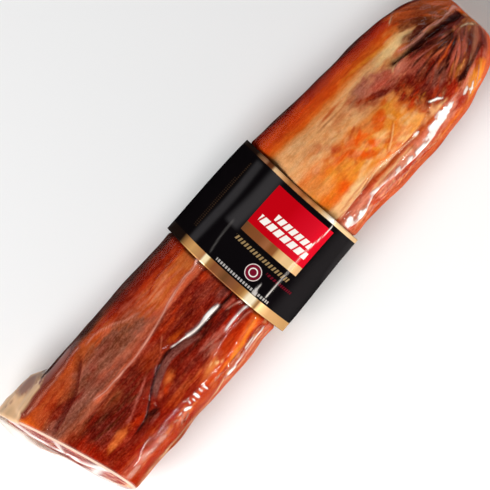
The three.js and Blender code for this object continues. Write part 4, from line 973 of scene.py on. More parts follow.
# %% [markdown]
# ## The cut face
#
# The knife cut shows the eye of the loin: pink lean with thin veins of fat and a rim of fat. Veins are
# where a noise crosses zero, which gives thin branching lines.

# %% Tone of the cut face and the tip
FACE_HALF_WIDTH = 34
FACE_HALF_HEIGHT = 24
FACE_LEAN = 0.6
TIP_LEAN = 0.8
TIP_SHADE = 0.8


def face_tone(share, turn):
    """Lean in the middle, a fat rim outside, veins of marbling where |noise| is small."""
    across, up = share * np.sin(turn) * FACE_HALF_WIDTH, share * np.cos(turn) * FACE_HALF_HEIGHT
    fields = noise(across * 2.2, up / 32, 16, 7, 81) + 0.5 * noise(across * 2.2, up / 32 + 1, 8, 4, 83)
    veins = bell(fields / 0.07) * 0.6
    flecks = ease(0.35, 0.75, noise(across * 2, up / 32 + 2, 4, 2.4, 85)) * 0.35
    rim = ease(0.93, 0.99, share + 0.04 * np.sin(3 * turn) + 0.03 * noise(across, turn, 9, 9, 87))
    lean_tone = linear((146, 60, 56)) * (1 + 0.25 * fields[..., None])
    fat = linear((232, 176, 140))
    mix = np.clip(veins + flecks, 0, 1)[..., None] * (1 - rim[..., None])
    return (lean_tone * (1 - mix) + fat * mix) * (1 - rim[..., None]) + fat * rim[..., None]


share = FACE_SHARES[:, None] + 0 * TURNS
face_colour = face_tone(share, TURNS + 0 * share)
middle_colour = face_tone(np.zeros((1, 1)), np.zeros((1, 1)))[0]
meat = closed_skin("meat", meat_rings, meat_face_middle, meat_tip_middle, {
    "tone": over_all(face_colour, tone, TIP_SHADE * tone[-1], middle_colour),
    "lean": over_all(FACE_LEAN, lean, TIP_LEAN)})

# %% [markdown]
# ## The clear film
#
# Vacuum film is pulled onto whatever is inside it. It touches every high place and bridges the
# grooves, because it is stiff in bending. That is easy to copy: start from the shape inside as the
# lowest radius allowed, and let each point go to the mean of its neighbours again and again, but
# never below that lowest radius. Where the film is creased or folded it turns milky. Those places are
# painted on its points too, each with the tone that it shows. So are painted highlights: white glints
# and streaks laid on the film where it would mirror the softbox.

# %% Shrinking the film on
FILM_GAP = 0.22
FILM_PASSES = 46
FILM_PULL = 0.035  # how far the vacuum draws it in at each pass
SLEEVE_MARGIN = 0.3


def over_sleeve(x, y):
    """True between the two edges of the sleeve, which bow towards the cut in the middle."""
    shifted = x - bow(y)
    return (shifted > SLEEVE_START - SLEEVE_MARGIN) & (shifted < SLEEVE_END + SLEEVE_MARGIN)


plan_y = body[..., 1]
on_card = over_sleeve(x, plan_y)
lowest = np.where(on_card, np.maximum(radius, sleeve_radius(x, turn)), radius) + FILM_GAP
film_radius = lowest.copy()
for _ in range(FILM_PASSES):
    ringed = (np.roll(film_radius, 1, 1) + np.roll(film_radius, -1, 1)) / 2
    lengthwise = film_radius.copy()
    lengthwise[1:-1] = (film_radius[2:] + film_radius[:-2]) / 2
    film_radius = np.maximum(lowest, 0.5 * ringed + 0.5 * lengthwise - FILM_PULL)
gap = film_radius - lowest
print("film stands off by", gap.mean().round(2), "mm in the mean and", gap.max().round(2), "at most")

# %% Creases of the film
# Crease: path in plan, half width, height, milkiness, tint. White creases are painted highlights, and
# cream and pink ones are milky film creases with some painted highlight in them.
CREASES = [
    ([(-23, 13.7), (-32, 13.2), (-42, 11.9), (-54, 10), (-64, 7.8), (-74, 6.2), (-88, 5.6), (-98, 5.4),
      (-108, 6.8)], 0.38, 0.14, 0.72, "pink"),
    ([(151, 4.1), (140, 5.2), (130, 6.4), (121, 7.2), (117, 8.4), (111, 11.4)], 0.32, 0.6, 0.85, "pink"),
    ([(131, 8.2), (122, 8.8), (117, 11)], 0.35, 0.3, 0.5, "pink"),
    ([(151, -11.4), (148, -7.4), (145, -5), (141.4, -3.8)], 0.5, 0.6, 0.9, "cream"),
    ([(129, 25.6), (124, 23.6), (118.5, 21.2)], 0.4, 0.4, 0.6, "cream"),
    ([(118, -23), (112, -22.6), (107, -20.4)], 0.6, 0.3, 0.5, "pink"),
    ([(97, -27.4), (91, -28), (84, -28.8), (78, -28.2), (70, -26.6), (60, -25), (55, -25.4), (50, -27),
      (45, -28.4), (40, -28.2), (33.6, -27)], 0.5, 0.4, 0.8, "white"),
    ([(84, -25.6), (76, -24.6), (66, -24), (58, -24.4)], 0.35, 0.3, 0.7, "cream"),
    ([(95, -31.8), (84, -30.8), (74, -30.6), (66, -29), (56, -30.4), (44, -31.4)], 0.35, 0.3, 0.5, "pink"),
    ([(-32.5, -6.3), (-42, -6.8), (-50, -6.4), (-56, -5.3)], 0.75, 0.3, 0.9, "white"),
    ([(-34, -5.6), (-44, -6), (-50, -6.6), (-57, -5), (-64.5, -3.5)], 0.34, 0.3, 0.95, "white"),
    ([(-26, -30), (-30, -30.6), (-36, -30.6), (-47, -31), (-53, -32), (-59, -31.8)], 0.4, 0.3, 0.7, "white"),
    ([(91, -22.6), (84, -22.7), (78, -21.7), (70, -20.4), (64, -19.6), (56, -20.2), (44, -20.6), (34, -22)],
     0.4, 0.4, 0.6, "cream"),
    ([(2, 13.6), (-8, 13.2), (-19, 11.8)], 0.22, 0.1, 0.06, "white"),
    ([(-24, -13.6), (-30, -11.6), (-34, -10.6)], 0.35, 0.3, 0.5, "pink"),
    ([(-24, -16.2), (-34, -16), (-42, -17)], 0.4, 0.4, 0.6, "white"),
    ([(-24, -18.8), (-38, -18.9)], 0.32, 0.3, 0.5, "pink"),
    ([(-42, -17), (-50, -15.6), (-56, -14.4)], 0.35, 0.25, 0.35, "pink"),
    ([(-26, -28.6), (-44, -28.2), (-56, -28.6), (-63, -28.2)], 0.4, 0.3, 0.4, "cream"),
    ([(-26, -33.2), (-40, -33.8), (-52, -34.6), (-60, -34.8)], 0.3, 0.2, 0.6, "cream"),
    ([(-57, -31.4), (-65, -33), (-75, -34), (-86, -34.4), (-94, -34.4), (-108, -35.4), (-124, -36)],
     0.6, 0.4, 0.65, "cream"),
    ([(-118, 35.4), (-124, 35), (-130, 33.6), (-134, 32)], 0.4, 0.3, 0.7, "cream"),
    ([(-60, 17.6), (-68, 19.6), (-76, 23.6), (-84, 26.8), (-92, 26.8)], 0.35, 0.25, 0.15, "pink"),
    ([(-92, 27.8), (-108, 26.6), (-122, 25.6), (-131, 25.2), (-135, 26.2), (-137.4, 28.4)],
     0.35, 0.4, 0.6, "pink"),
    ([(-137, 31), (-130, 31.8), (-122, 31), (-117, 32.6)], 0.4, 0.4, 0.6, "cream"),
    ([(-138, 33.6), (-130, 34.2), (-123, 34), (-118, 34.8)], 0.4, 0.3, 0.8, "cream"),
    ([(-139, 30), (-130, 30.4), (-122, 30.2), (-117, 31)], 0.4, 0, 0.9, "brown"),
    ([(34, -18.6), (29.4, -20), (23, -19.8), (17, -18.8), (0, -18.7), (-17.5, -18.8)],
     0.16, 0.1, 0.64, "white"),
]
# Glint, a painted highlight laid as white on the film: x, y in plan, half length, half width, tilt in
# degrees, strength; faint ones are rosy
GLINTS = [
    (105.5, -25.2, 5.6, 2.7, 0, 1), (98.6, -25.8, 3.4, 2.2, 0, 0.95), (93, -27.2, 3.4, 0.9, -8, 0.9),
    (86, -28.2, 4.2, 1.3, -6, 1), (78, -27.6, 3, 0.9, 8, 0.9), (70, -26.4, 3, 0.7, 10, 0.7),
    (89, -22.3, 1.6, 0.9, 0, 0.9), (56, -25.2, 2.6, 0.8, 0, 0.8), (45, -28.2, 3.2, 1.4, 0, 0.95),
    (37, -26.6, 2.6, 1.5, 0, 0.85), (107, -16.8, 4.4, 0.6, -36, 1), (124, -27.4, 2.6, 0.6, -60, 0.9),
    (124, -27.2, 2.6, 0.6, 20, 0.85), (121, -25.4, 2, 1, 0, 0.7), (131, -25.6, 3.4, 0.4, 30, 0.5),
    (129, -29, 3, 0.4, -20, 0.6), (-67, -27, 0.6, 1.7, 0, 0.9), (-72.6, -27.2, 0.6, 1.9, 0, 0.95),
    (-75.2, -27.6, 0.5, 1.3, 0, 0.8), (-80.4, -28.2, 2.4, 0.9, -40, 0.95),
    (-84.6, -27.2, 1.4, 0.5, 10, 0.6), (-98.6, -28.4, 3.2, 1.4, 0, 0.5), (-110, -29.2, 5, 1.4, 0, 0.4),
    (-120, -30, 4, 1.1, 0, 0.45), (-86, -30, 3, 0.5, 50, 0.5), (-88.6, -28, 2.4, 0.5, -40, 0.5),
    (-83, -31, 2.4, 0.5, 30, 0.5), (-69.6, -26.6, 0.4, 1.3, 10, 0.6), (-77.4, -27, 0.4, 1.6, -8, 0.6),
    (-38, -30, 4, 0.5, 2, 0.7), (-53, -32, 3, 0.6, -4, 0.75), (-15.6, -14, 2.4, 0.28, 0, 0.55),
    (-17, -14.3, 1.6, 0.7, 0, 0.6), (-18.6, -14.6, 0.9, 1.3, 0, 0.52),
]
# Ledge: path in plan, width of the slope towards -Y, drop, and how broadly it comes back
LEDGES = [
    ([(-27, -6.9), (-34, -7), (-43, -7.2), (-50, -6.5), (-57, -5.2), (-63, -4.1), (-67, -3.4)], 1.5, 1.1, 7),
    ([(-48, -29.5), (-56, -30.5)], 1.4, 0.6, 5),
]
print(len(CREASES), "creases,", len(GLINTS), "glints and", len(LEDGES), "ledges")


# %% Laying them on the film
def add_milk_and_highlight(milk_and_highlight, milk_and_highlight_tone, strength, tone):
    """Milky film and painted highlights alike: the share of white and its tone once more is added; the
    stronger of the two wins at each point.
    """
    milk_and_highlight_tone = np.where((strength > milk_and_highlight)[..., None], tone, milk_and_highlight_tone)
    return np.maximum(milk_and_highlight, strength), milk_and_highlight_tone


CREASE_ENDS = (2.5, 2.5)
film_relief = np.zeros_like(x)
milk_and_highlight = np.zeros_like(x)
milk_and_highlight_tone = np.broadcast_to(linear(TONES["cream"]), x.shape + (3,))
broken = np.where(on_card, 1, 0.8 + 0.6 * clouds(x, turn, 5, 3, 141, 2))
waver = np.where(on_card, 0, 0.45) * noise(x, turn, 5, 8, 143)
for path, wide, high, milk, tint in CREASES:
    off = off_line(path, x, turn, film_radius) + waver
    fade = line_fade(path, CREASE_ENDS, x)
    film_relief += fade * high * bell(off / (1.5 * wide + 0.15))
    strength = np.clip(fade * milk * bell(off / (wide + 0.12)) * broken * 1.15, 0, 0.97)
    milk_and_highlight, milk_and_highlight_tone = add_milk_and_highlight(milk_and_highlight, milk_and_highlight_tone, strength, linear(TONES[tint]))
ragged = 0.6 * clouds(x, turn, 2.6, 1.6, 147, 2)
# Glints are painted highlights: white laid on the film, with their strength in the last column.
for place_x, place_y, long, wide, tilt, milk in GLINTS:
    run, off = on_mark(x, turn, film_radius, (place_x, place_y), tilt)
    strength = milk * ease(1.3, 0.8, np.hypot(run / long, off / wide) + ragged)
    tint = TONES["white" if milk > 0.5 else "pink"]
    milk_and_highlight, milk_and_highlight_tone = add_milk_and_highlight(milk_and_highlight, milk_and_highlight_tone, strength, linear(tint))
for path, wide, drop, back in LEDGES:
    off = off_line(path, x, turn, film_radius)
    slope = np.clip((off + wide / 2) / wide, 0, 1)
    film_relief += line_fade(path, (4, 4), x) * drop * (slope * bell(np.maximum(off, 0) / back))
print("relief of the film up to", film_relief.max().round(2), "mm, haze up to", milk_and_highlight.max().round(2))

# %% [markdown]
# ## The ear, the tongue and the skirt
#
# At the cut end the bag is wider than the loin. The spare film lies against one flank as an ear,
# runs up the loin as a flat tongue and flares out below as a skirt: three soft blocks in the place
# along the loin and the turn round it.

# %% Ear, tongue and skirt of spare film
EAR = dict(x=-135, turn=98, long=19.2, round=21, high=4.8)
TONGUE = dict(path=[(-88, 30.6), (-112, 29.4), (-138, 28.2)], wide=3.7, high=0.9, ends=(14, 2.5))
SKIRT = dict(turn=128, round=30, long=7, high=3.6)
EAR_ZONE = dict(inner=(-112, -116), turn=92, lean=0.2, top=(60, 66), foot=(140, 118))
EAR_BUBBLE = dict(x=-124.5, long=7.6, turn=79.5, round=7)
EAR_LINES = [  # path as x and degrees from the top, half width, tint
    ([(-116.6, 81), (-120, 74), (-126, 74.4), (-132, 79)], 0.28, "brown"),
    ([(-118, 86), (-124, 87), (-129, 84.6), (-133, 80)], 0.2, "ember"),
    ([(-132, 79), (-137, 80.6), (-142, 84)], 0.2, "brown"),
    ([(-129, 86), (-135, 85), (-142, 88)], 0.22, "cream"),
    ([(-121, 91), (-130, 90), (-141, 92)], 0.22, "cream"),
    ([(-113, 74), (-118, 67.4), (-126, 65), (-134, 64), (-139, 66)], 0.35, "cream"),
    ([(-119, 98), (-130, 101), (-141, 98)], 0.25, "brown"),
    ([(-121, 108), (-132, 105), (-141, 109)], 0.25, "cream"),
    ([(-124, 116), (-134, 113), (-141, 117)], 0.25, "brown"),
]
EAR_TOP = (140, 92, 73)
EAR_LOW = (234, 188, 142)
TONGUE_INSIDE = (142, 62, 48)
ear = bell(((x - EAR["x"]) / EAR["long"]) ** 4) * block(away(turn, EAR["turn"]) / math.radians(EAR["round"]))
tongue_off = off_line(TONGUE["path"], x, turn, film_radius)
tongue = line_fade(TONGUE["path"], TONGUE["ends"], x) * block(tongue_off / TONGUE["wide"])
film_relief += EAR["high"] * ear + TONGUE["high"] * tongue
skirt = bell(away(turn, SKIRT["turn"]) / math.radians(SKIRT["round"]))
skirt = skirt * ease(SKIRT["long"], 0, STEPS)[:, None]
milk_and_highlight, milk_and_highlight_tone = add_milk_and_highlight(milk_and_highlight, milk_and_highlight_tone, 0.8 * tongue, linear(TONGUE_INSIDE))
around = np.degrees(wrap(turn))
ear_zone = ease(*EAR_ZONE["inner"], x + EAR_ZONE["lean"] * np.abs(around - EAR_ZONE["turn"]))
ear_zone = ear_zone * ease(*EAR_ZONE["top"], around) * ease(*EAR_ZONE["foot"], around)
ear_folds = noise(x, turn, 16, 2.2, 151) + 0.6 * noise(x, turn, 7, 1.2, 155)
ear_milk = np.maximum(0.92 * ear_zone, 0.75 * skirt)
film_relief += 0.45 * ear * ear_folds
from_bubble = np.hypot((x - EAR_BUBBLE["x"]) / EAR_BUBBLE["long"],
                       (around - EAR_BUBBLE["turn"]) / EAR_BUBBLE["round"])
lower = ease(0.6, 1.3, from_bubble + 0.14 * ear_folds)[..., None]
ear_tone = (linear(EAR_TOP) * (1 - lower) + linear(EAR_LOW) * lower) * (0.9 + 0.22 * ear_folds[..., None])
milk_and_highlight, milk_and_highlight_tone = add_milk_and_highlight(milk_and_highlight, milk_and_highlight_tone, ear_milk, ear_tone)
# brown lines sink into the ear's folds and cream ones stand out on them: painted shade and painted light on
# the folds
for path, wide, tint in EAR_LINES:
    off = off_line(path, x, turn, film_radius, turned=True)
    thin_line = line_fade(path, (2, 3), x) * bell(off / (wide + 0.12))
    milk_and_highlight_tone = blend(milk_and_highlight_tone, tint, 0.7 * thin_line)
    film_relief += (0.3 if tint == "cream" else -0.25) * thin_line
print("ear stands", round(float(EAR["high"] * ear.max()), 1), "mm proud of the loin")

# %% [markdown]
# ## Crinkles and shine
#
# Loose film is crinkled, but over the card it is smooth and beside it pulled tight. It mirrors a
# small share of the light, and how much of that counts is painted on the points as well. Over the
# card it is none, because a faint mirror over near-black card renders as dotted noise. It also fades
# in from the cut, whose sharp rim would catch single bright specks.

# %% Crinkles and gloss
WRINKLED = [(-92, -27, 40, 4.6, 0.46), (72, -27, 42, 5, 0.26)]  # x, y, half length, half width, height
GLOSS_BESIDE_CARD = (0.5, 3.5)
GLOSS_FROM_CUT = (0.8, 10)
crinkle = 0.08 * clouds(x, turn, 9, 2.4, 91) + 0.035 * noise(x, turn, 2.6, 1.3, 97)
for place, middle, long, wide, high in WRINKLED:
    zone = block((x - place) / long) * block((plan_y - middle) / wide) * (np.cos(turn) > 0)
    crinkle = crinkle + high * zone * noise(x, turn, 3.2, 5, 99)
tight = ease(0, 0.3, gap) * 0.5 + 0.5
beside = ease(9, 1, np.abs(x - SLEEVE_START)) + ease(9, 1, np.abs(x - SLEEVE_END))
film_relief += crinkle * tight * (1 - 0.75 * on_card) * (1 - 0.7 * np.minimum(beside, 1))
loose = 1 - 0.97 * on_card
film_radius = film_radius + film_relief
beyond = np.abs(x - bow(plan_y) - (SLEEVE_START + SLEEVE_END) / 2) - (SLEEVE_END - SLEEVE_START) / 2
gloss = ease(*GLOSS_BESIDE_CARD, beyond) * ease(*GLOSS_FROM_CUT, STEPS)[:, None]
print("gloss in the mean", gloss.mean().round(2))

# %% [markdown]
# ## Film over the cut
#
# Over the knife cut the film lies in a few folds that fan out from the middle, a long fold across,
# and a loop and a foot where it is doubled. It is milky there and clear between them.

# %% Folds of film over the cut
RIM_TONE = (250, 208, 184)
RIM_HAZE = dict(step=0.3, wide=0.5, strength=0.75)
FACE_FOLDS = [(-38, 1.3, 9), (22, 0.8, 8), (72, 1.0, 10), (160, 0.9, 12), (-112, 0.8, 11)]
LONG_FOLD = dict(y=12, z=25, slope=0.41, wide=2.2, start=(-19, -15), end=(24, 14), milk_and_highlight=0.85)
LOOP = dict(y=-17.4, wide=2.2, above=(14, 20), milk_and_highlight=0.7)
FOOT = dict(slope=0.25, height=(16, 5), milk_and_highlight=0.6)
MIDDLE_HAZE = 0.2
TIP_HAZE = 0.1
FILM_OVER_CUT = 0.6
FILM_OVER_TIP = 0.3


def film_over_cut(share, turn):
    """Height of the film over the cut: a crown and a few folds that fan from the middle."""
    share, turn = np.asarray(share, float), np.asarray(turn, float)
    height = 0.3 + 0.5 * (1 - share ** 2)
    for degrees, high, wide in FACE_FOLDS:
        height = height + high * share * (1 - share) * 4 * bell(away(turn, degrees) / math.radians(wide))
    return height + 0.15 * noise(60 * share + 0 * turn, turn + 0 * share, 7, 5, 111) * share


film_x = x - FILM_OVER_CUT * ease(CUT_X + 5, CUT_X, CUT_X + STEPS)[:, None]
film_x = film_x + FILM_OVER_TIP * ease(TIP_X - 4, TIP_X, CUT_X + STEPS)[:, None]
film_x = film_x - SKIRT["high"] * skirt
film_body = point_at(film_x, turn, film_radius)
film_face, film_face_middle = face_rings(film_body[0], film_over_cut)
film_tip, film_tip_middle = tip_rings(film_body[-1])
film_tip_middle = film_tip_middle + np.array([FILM_OVER_TIP, 0, 0])
film_rings = np.concatenate([film_face, film_body, film_tip])

# %% Milky folds over the cut, and the finished film
fold_haze = np.zeros(share.shape)
for degrees, high, wide in FACE_FOLDS:
    off = away(TURNS, degrees) / math.radians(wide)
    fold_haze = np.maximum(fold_haze, 0.6 * high * bell(off * 1.4) * ease(0.2, 0.5, share))
face_y, face_z = film_face[..., 1], film_face[..., 2]
rise = face_z - LONG_FOLD["z"] - (LONG_FOLD["y"] - face_y) * LONG_FOLD["slope"]
long_fold = bell(rise / LONG_FOLD["wide"]) * ease(*LONG_FOLD["start"], face_y)
long_fold = long_fold * ease(*LONG_FOLD["end"], face_y)
foot = ease(*FOOT["height"], face_z - FOOT["slope"] * face_y)
loop = bell((face_y - LOOP["y"]) / LOOP["wide"]) * ease(*LOOP["above"], face_z)
for form, strength in ((long_fold, LONG_FOLD["milk_and_highlight"]), (loop, LOOP["milk_and_highlight"]), (foot, FOOT["milk_and_highlight"])):
    fold_haze = np.maximum(fold_haze, strength * form)
fold_haze = np.clip(fold_haze + 0.03 + 0.07 * noise(60 * share, TURNS + 0 * share, 8, 6, 121), 0, 0.88)
rim_haze = RIM_HAZE["strength"] * bell((STEPS - RIM_HAZE["step"]) / RIM_HAZE["wide"])[:, None]
rim_haze = rim_haze * (1 - ear_zone)
milk_and_highlight, milk_and_highlight_tone = add_milk_and_highlight(milk_and_highlight, milk_and_highlight_tone, rim_haze, linear(RIM_TONE))
pale = linear(TONES["white"])
film = closed_skin("film", film_rings, film_face_middle, film_tip_middle, {
    "milk_and_highlight": over_all(fold_haze, milk_and_highlight, TIP_HAZE, [MIDDLE_HAZE]), "milk": over_all(pale, milk_and_highlight_tone, pale),
    "loose": over_all(1, loose, 1), "gloss": over_all(1, gloss, 1)})

# %% [markdown]
# ## The printed sleeve
#
# The sleeve is a ring of card with an outer and an inner wall. Its own UV map counts millimetres: how
# far round from the top, and how far along. The print is then plain rectangles in that map.

# %% Sleeve of card
SLEEVE_ROWS = 66
SLEEVE_COLUMNS = 300
PRINT_SCALE = 0.004  # UV units for one millimetre
OFF_PRINT = -100  # place on the print of the inner wall, which is plain

ring_turn = (np.arange(SLEEVE_COLUMNS) / SLEEVE_COLUMNS * 2 - 1) * math.pi
outer_x = np.linspace(SLEEVE_START, SLEEVE_END, SLEEVE_ROWS)[:, None] + 0 * ring_turn


def sleeve_wall(inward):
    """One wall of the sleeve: the outline of flats less the wall's depth, slightly bowed."""
    around = ring_turn + 0 * outer_x
    reach = sleeve_radius(outer_x, ring_turn) - inward + 0.05 * noise(outer_x, around, 30, 12, 131)
    points = point_at(outer_x, around, reach, SLEEVE_CLEAR + inward)
    points[..., 0] = points[..., 0] + bow(points[..., 1])
    return points


def ring_piece(name, rows, across, lengthwise):
    """A closed ring from rows that end where they begin, with a UV map in millimetres."""
    count, columns = rows.shape[:2]
    points = rows.reshape(-1, 3) * MM
    at = np.arange(count)[:, None] * columns + np.arange(columns)
    lower, upper = at, np.roll(at, -1, 0)
    quads = np.stack([lower, upper, np.roll(upper, -1, 1), np.roll(lower, -1, 1)], -1).reshape(-1, 4)
    mesh = bpy.data.meshes.new(name)
    mesh.from_pydata(points.tolist(), [], quads.tolist())
    mesh.shade_smooth()
    u = np.concatenate([across, 2 * across[:, -1:] - across[:, -2:-1]], 1)
    v = lengthwise
    r, c = np.meshgrid(np.arange(count), np.arange(columns), indexing="ij")
    after = (r + 1) % count
    corners = np.stack([pair(u[r, c], v[r, c]), pair(u[after, c], v[after, c]),
                        pair(u[after, c + 1], v[after, c]), pair(u[r, c + 1], v[r, c])], 2)
    add_map(mesh, "print", corners * PRINT_SCALE + 0.5)
    flat = [pair((c + right) / columns, (r + up) / count) for right, up in ((0, 0), (0, 1), (1, 1), (1, 0))]
    add_map(mesh, "OFBake", np.stack(flat, 2))
    print(name, len(points), "points")
    return new_object(name, mesh)


outer_wall = sleeve_wall(0)
inner_wall = sleeve_wall(SLEEVE_THICK)[::-1]

# %% Its map in millimetres
step = np.hypot(np.diff(outer_wall[..., 1], axis=1), np.diff(outer_wall[..., 2], axis=1))
arc = np.concatenate([np.zeros((SLEEVE_ROWS, 1)), np.cumsum(step, 1)], 1)
arc = arc - arc[:, SLEEVE_COLUMNS // 2:SLEEVE_COLUMNS // 2 + 1]
lengthwise = np.concatenate([outer_x, np.full_like(outer_x, OFF_PRINT)])
label = ring_piece("printed_sleeve", np.concatenate([outer_wall, inner_wall]),
                   np.concatenate([arc, arc[::-1]]), lengthwise)
print("sleeve is", round(float(arc.max() - arc.min()), 1), "mm round")

# %% [markdown]
# ## Painted sheens on the card
#
# Black card under film has broad dull sheens where it bends towards the light. They are painted
# reflections: a value on the points, mixed into the black ink before the print is laid over it, so
# the red panel stays clean.

# %% Painted sheens as a value on the points
PAINTED_SHEEN_PATHS = [  # path in plan, half width, share of the pale tone
    ([(30, 22.4), (14, 21.4), (2, 21.2), (-8, 21.6), (-22, 22)], 2.8, 0.036),
    ([(33, 12.6), (14, 12.6), (-3, 13.6)], 3.4, 0.034),
    ([(33, -31), (0, -31.4), (-24, -31.8)], 9, 0.011),
    ([(33, -33), (18, -33.4), (4, -34)], 7, 0.021),
]
painted_sheen = np.zeros_like(outer_x)
for path, wide, strength in PAINTED_SHEEN_PATHS:
    off = off_line(path, outer_x, ring_turn, sleeve_radius(outer_x, ring_turn))
    painted_sheen = np.maximum(painted_sheen, strength * line_fade(path, CREASE_ENDS, outer_x) * block(off / wide))
add_values(label.data, {"painted_sheen": np.concatenate([painted_sheen, 0 * painted_sheen]).ravel()})
print("sheen up to", painted_sheen.max().round(3))

# %% [markdown]
# ## Node helpers
#
# Materials are node trees. One helper adds a node and fills its sockets, with a number or with a
# link, so that each material reads as a list of steps.

# %% Adding nodes
def add(tree, kind, inputs=None, **settings):
    """Adds a shader node of a kind, sets its options and fills its inputs by name or number."""
    node = tree.nodes.new("ShaderNode" + kind)
    for name, value in settings.items():
        setattr(node, name, value)
    for name, value in (inputs or {}).items():
        if isinstance(value, bpy.types.NodeSocket):
            tree.links.new(value, node.inputs[name])
        else:
            node.inputs[name].default_value = value
    return node


def math_node(tree, operation, first, second=0.0, third=0.0):
    """One sum; returns its result."""
    return add(tree, "Math", {0: first, 1: second, 2: third}, operation=operation).outputs[0]


def remap(tree, value, start, end, first=0.0, last=1.0, **settings):
    """A value from start to end, moved to first to last and kept between them."""
    span = {"Value": value, "From Min": start, "From Max": end, "To Min": first, "To Max": last}
    return add(tree, "MapRange", span, **settings).outputs[0]


def laid_over(tree, share, under, over):
    """One colour over another: under (1 - share) + over share."""
    if not isinstance(over, bpy.types.NodeSocket):
        over = (*over, 1)
    return add(tree, "Mix", {0: share, 6: under, 7: over}, data_type="RGBA").outputs[2]


def painted(tree, name, output="Fac"):
    """What is stored on the mesh's points under this name, as a value or a colour."""
    return add(tree, "Attribute", attribute_name=name).outputs[output]


def new_group(name, inputs, outputs):
    """A shader node group of numbers: its inputs by name with their defaults, its outputs by name."""
    group = bpy.data.node_groups.new(name, "ShaderNodeTree")
    for title, default in inputs.items():
        socket = group.interface.new_socket(title, in_out="INPUT", socket_type="NodeSocketFloat")
        socket.default_value = default
    for title in outputs:
        group.interface.new_socket(title, in_out="OUTPUT", socket_type="NodeSocketFloat")
    return group, group.nodes.new("NodeGroupInput").outputs, group.nodes.new("NodeGroupOutput").inputs


def new_material(name):
    """An empty node material and its Principled shader, joined to the output."""
    material = bpy.data.materials.new(name)
    material.use_nodes = True
    tree = material.node_tree
    tree.nodes.clear()
    shader = add(tree, "BsdfPrincipled")
    output = add(tree, "OutputMaterial")
    tree.links.new(shader.outputs[0], output.inputs["Surface"])
    return material, tree, shader, output


# %% Group: grain along the loin
def make_grain():
    """Noise stretched along X: streaks for colour and a height for bumps."""
    sizes = {"Length": 12.0, "Width": 1.2, "Roughness": 0.6}
    group, given, made = new_group("grain", sizes, ["Streaks", "Height"])
    place = add(group, "TexCoord").outputs["Object"]
    size = add(group, "CombineXYZ", {0: given["Length"], 1: given["Width"], 2: given["Width"]})
    metres = add(group, "VectorMath", {0: size.outputs[0], "Scale": MM}, operation="SCALE")
    scaled = add(group, "VectorMath", {0: place, 1: metres.outputs[0]}, operation="DIVIDE")
    cells = add(group, "TexNoise",
                {"Vector": scaled.outputs[0], "Scale": 1.0, "Detail": 4.0, "Roughness": given["Roughness"]})
    height = cells.outputs["Fac"]
    group.links.new(remap(group, height, 0.3, 0.7), made["Streaks"])
    group.links.new(height, made["Height"])
    return group


# %% Group: printed rectangle
def make_field():
    """1 inside a rectangle given by its middle and half size in mm, with a soft printed edge."""
    sizes = {"Across": 0.0, "Along": 0.0, "Middle across": 0.0, "Middle along": 0.0,
             "Half across": 1.0, "Half along": 1.0, "Edge": 0.15}
    group, given, made = new_group("printed field", sizes, ["Mask"])
    masks = []
    for way in ("across", "along"):
        beside = math_node(group, "SUBTRACT", given[way.capitalize()], given["Middle " + way])
        inside = math_node(group, "SUBTRACT", given["Half " + way], math_node(group, "ABSOLUTE", beside))
        edges = [math_node(group, "MULTIPLY", given["Edge"], share) for share in (-0.5, 0.5)]
        masks.append(remap(group, inside, *edges))
    group.links.new(math_node(group, "MULTIPLY", *masks), made["Mask"])
    return group


grain_group = make_grain()
field_group = make_field()
print("node groups:", [g.name for g in bpy.data.node_groups])

# %% [markdown]
# ## Materials
#
# The meat takes its colour from the painted points and adds fine fibres. It has no shine of its own,
# since the film over it carries the highlights. The film is a clear layer with a small share of
# mirror, and it turns milky where it is folded and white where highlights are painted on it. The card
# is coated black with foil bands. The soft reflections in the foil and the shading of the red panel
# are painted, as ramps of tones round the sleeve, calm from every side.

# %% Material of the meat
def make_meat():
    """Painted tone, darkened in fine streaks, over a fine fibrous bump."""
    material, tree, shader, _ = new_material("cured_meat")
    tone = painted(tree, "tone", "Color")
    lean = painted(tree, "lean")
    fibres = add(tree, "Group", {"Length": 6.0, "Width": 0.7}, node_tree=grain_group)
    flecks = add(tree, "Group", {"Length": 1.2, "Width": 0.8, "Roughness": 0.75},
                 node_tree=grain_group)
    depth = math_node(tree, "MULTIPLY_ADD", lean, 0.34, 0.26)
    fine = math_node(tree, "MULTIPLY", flecks.outputs["Streaks"], 0.6)
    both = math_node(tree, "MULTIPLY_ADD", fibres.outputs["Streaks"], 0.4, fine)
    swing = math_node(tree, "MULTIPLY", math_node(tree, "SUBTRACT", both, 0.5), depth)
    toned = add(tree, "Gamma", {"Color": tone, "Gamma": math_node(tree, "ADD", 1.0, swing)})
    light = math_node(tree, "SUBTRACT", 1.0, swing)
    shaded = add(tree, "VectorMath", {0: toned.outputs[0], "Scale": light}, operation="SCALE")
    tree.links.new(shaded.outputs[0], shader.inputs["Base Color"])
    height = math_node(tree, "MULTIPLY_ADD", flecks.outputs["Height"], 0.5, fibres.outputs["Height"])
    bump = add(tree, "Bump", {"Strength": 0.35, "Distance": 0.0003, "Height": height})
    tree.links.new(bump.outputs[0], shader.inputs["Normal"])
    tree.links.new(remap(tree, flecks.outputs["Streaks"], 0.0, 1.0, 0.42, 0.6), shader.inputs["Roughness"])
    shader.inputs["Specular IOR Level"].default_value = 0.0
    shader.inputs["Subsurface Weight"].default_value = 0.08
    shader.inputs["Subsurface Radius"].default_value = (1.0, 0.35, 0.15)
    shader.inputs["Subsurface Scale"].default_value = 0.002
    return material


# %% Material of the film
FILM_GLOSS = 0.014  # share of the light that clear film mirrors


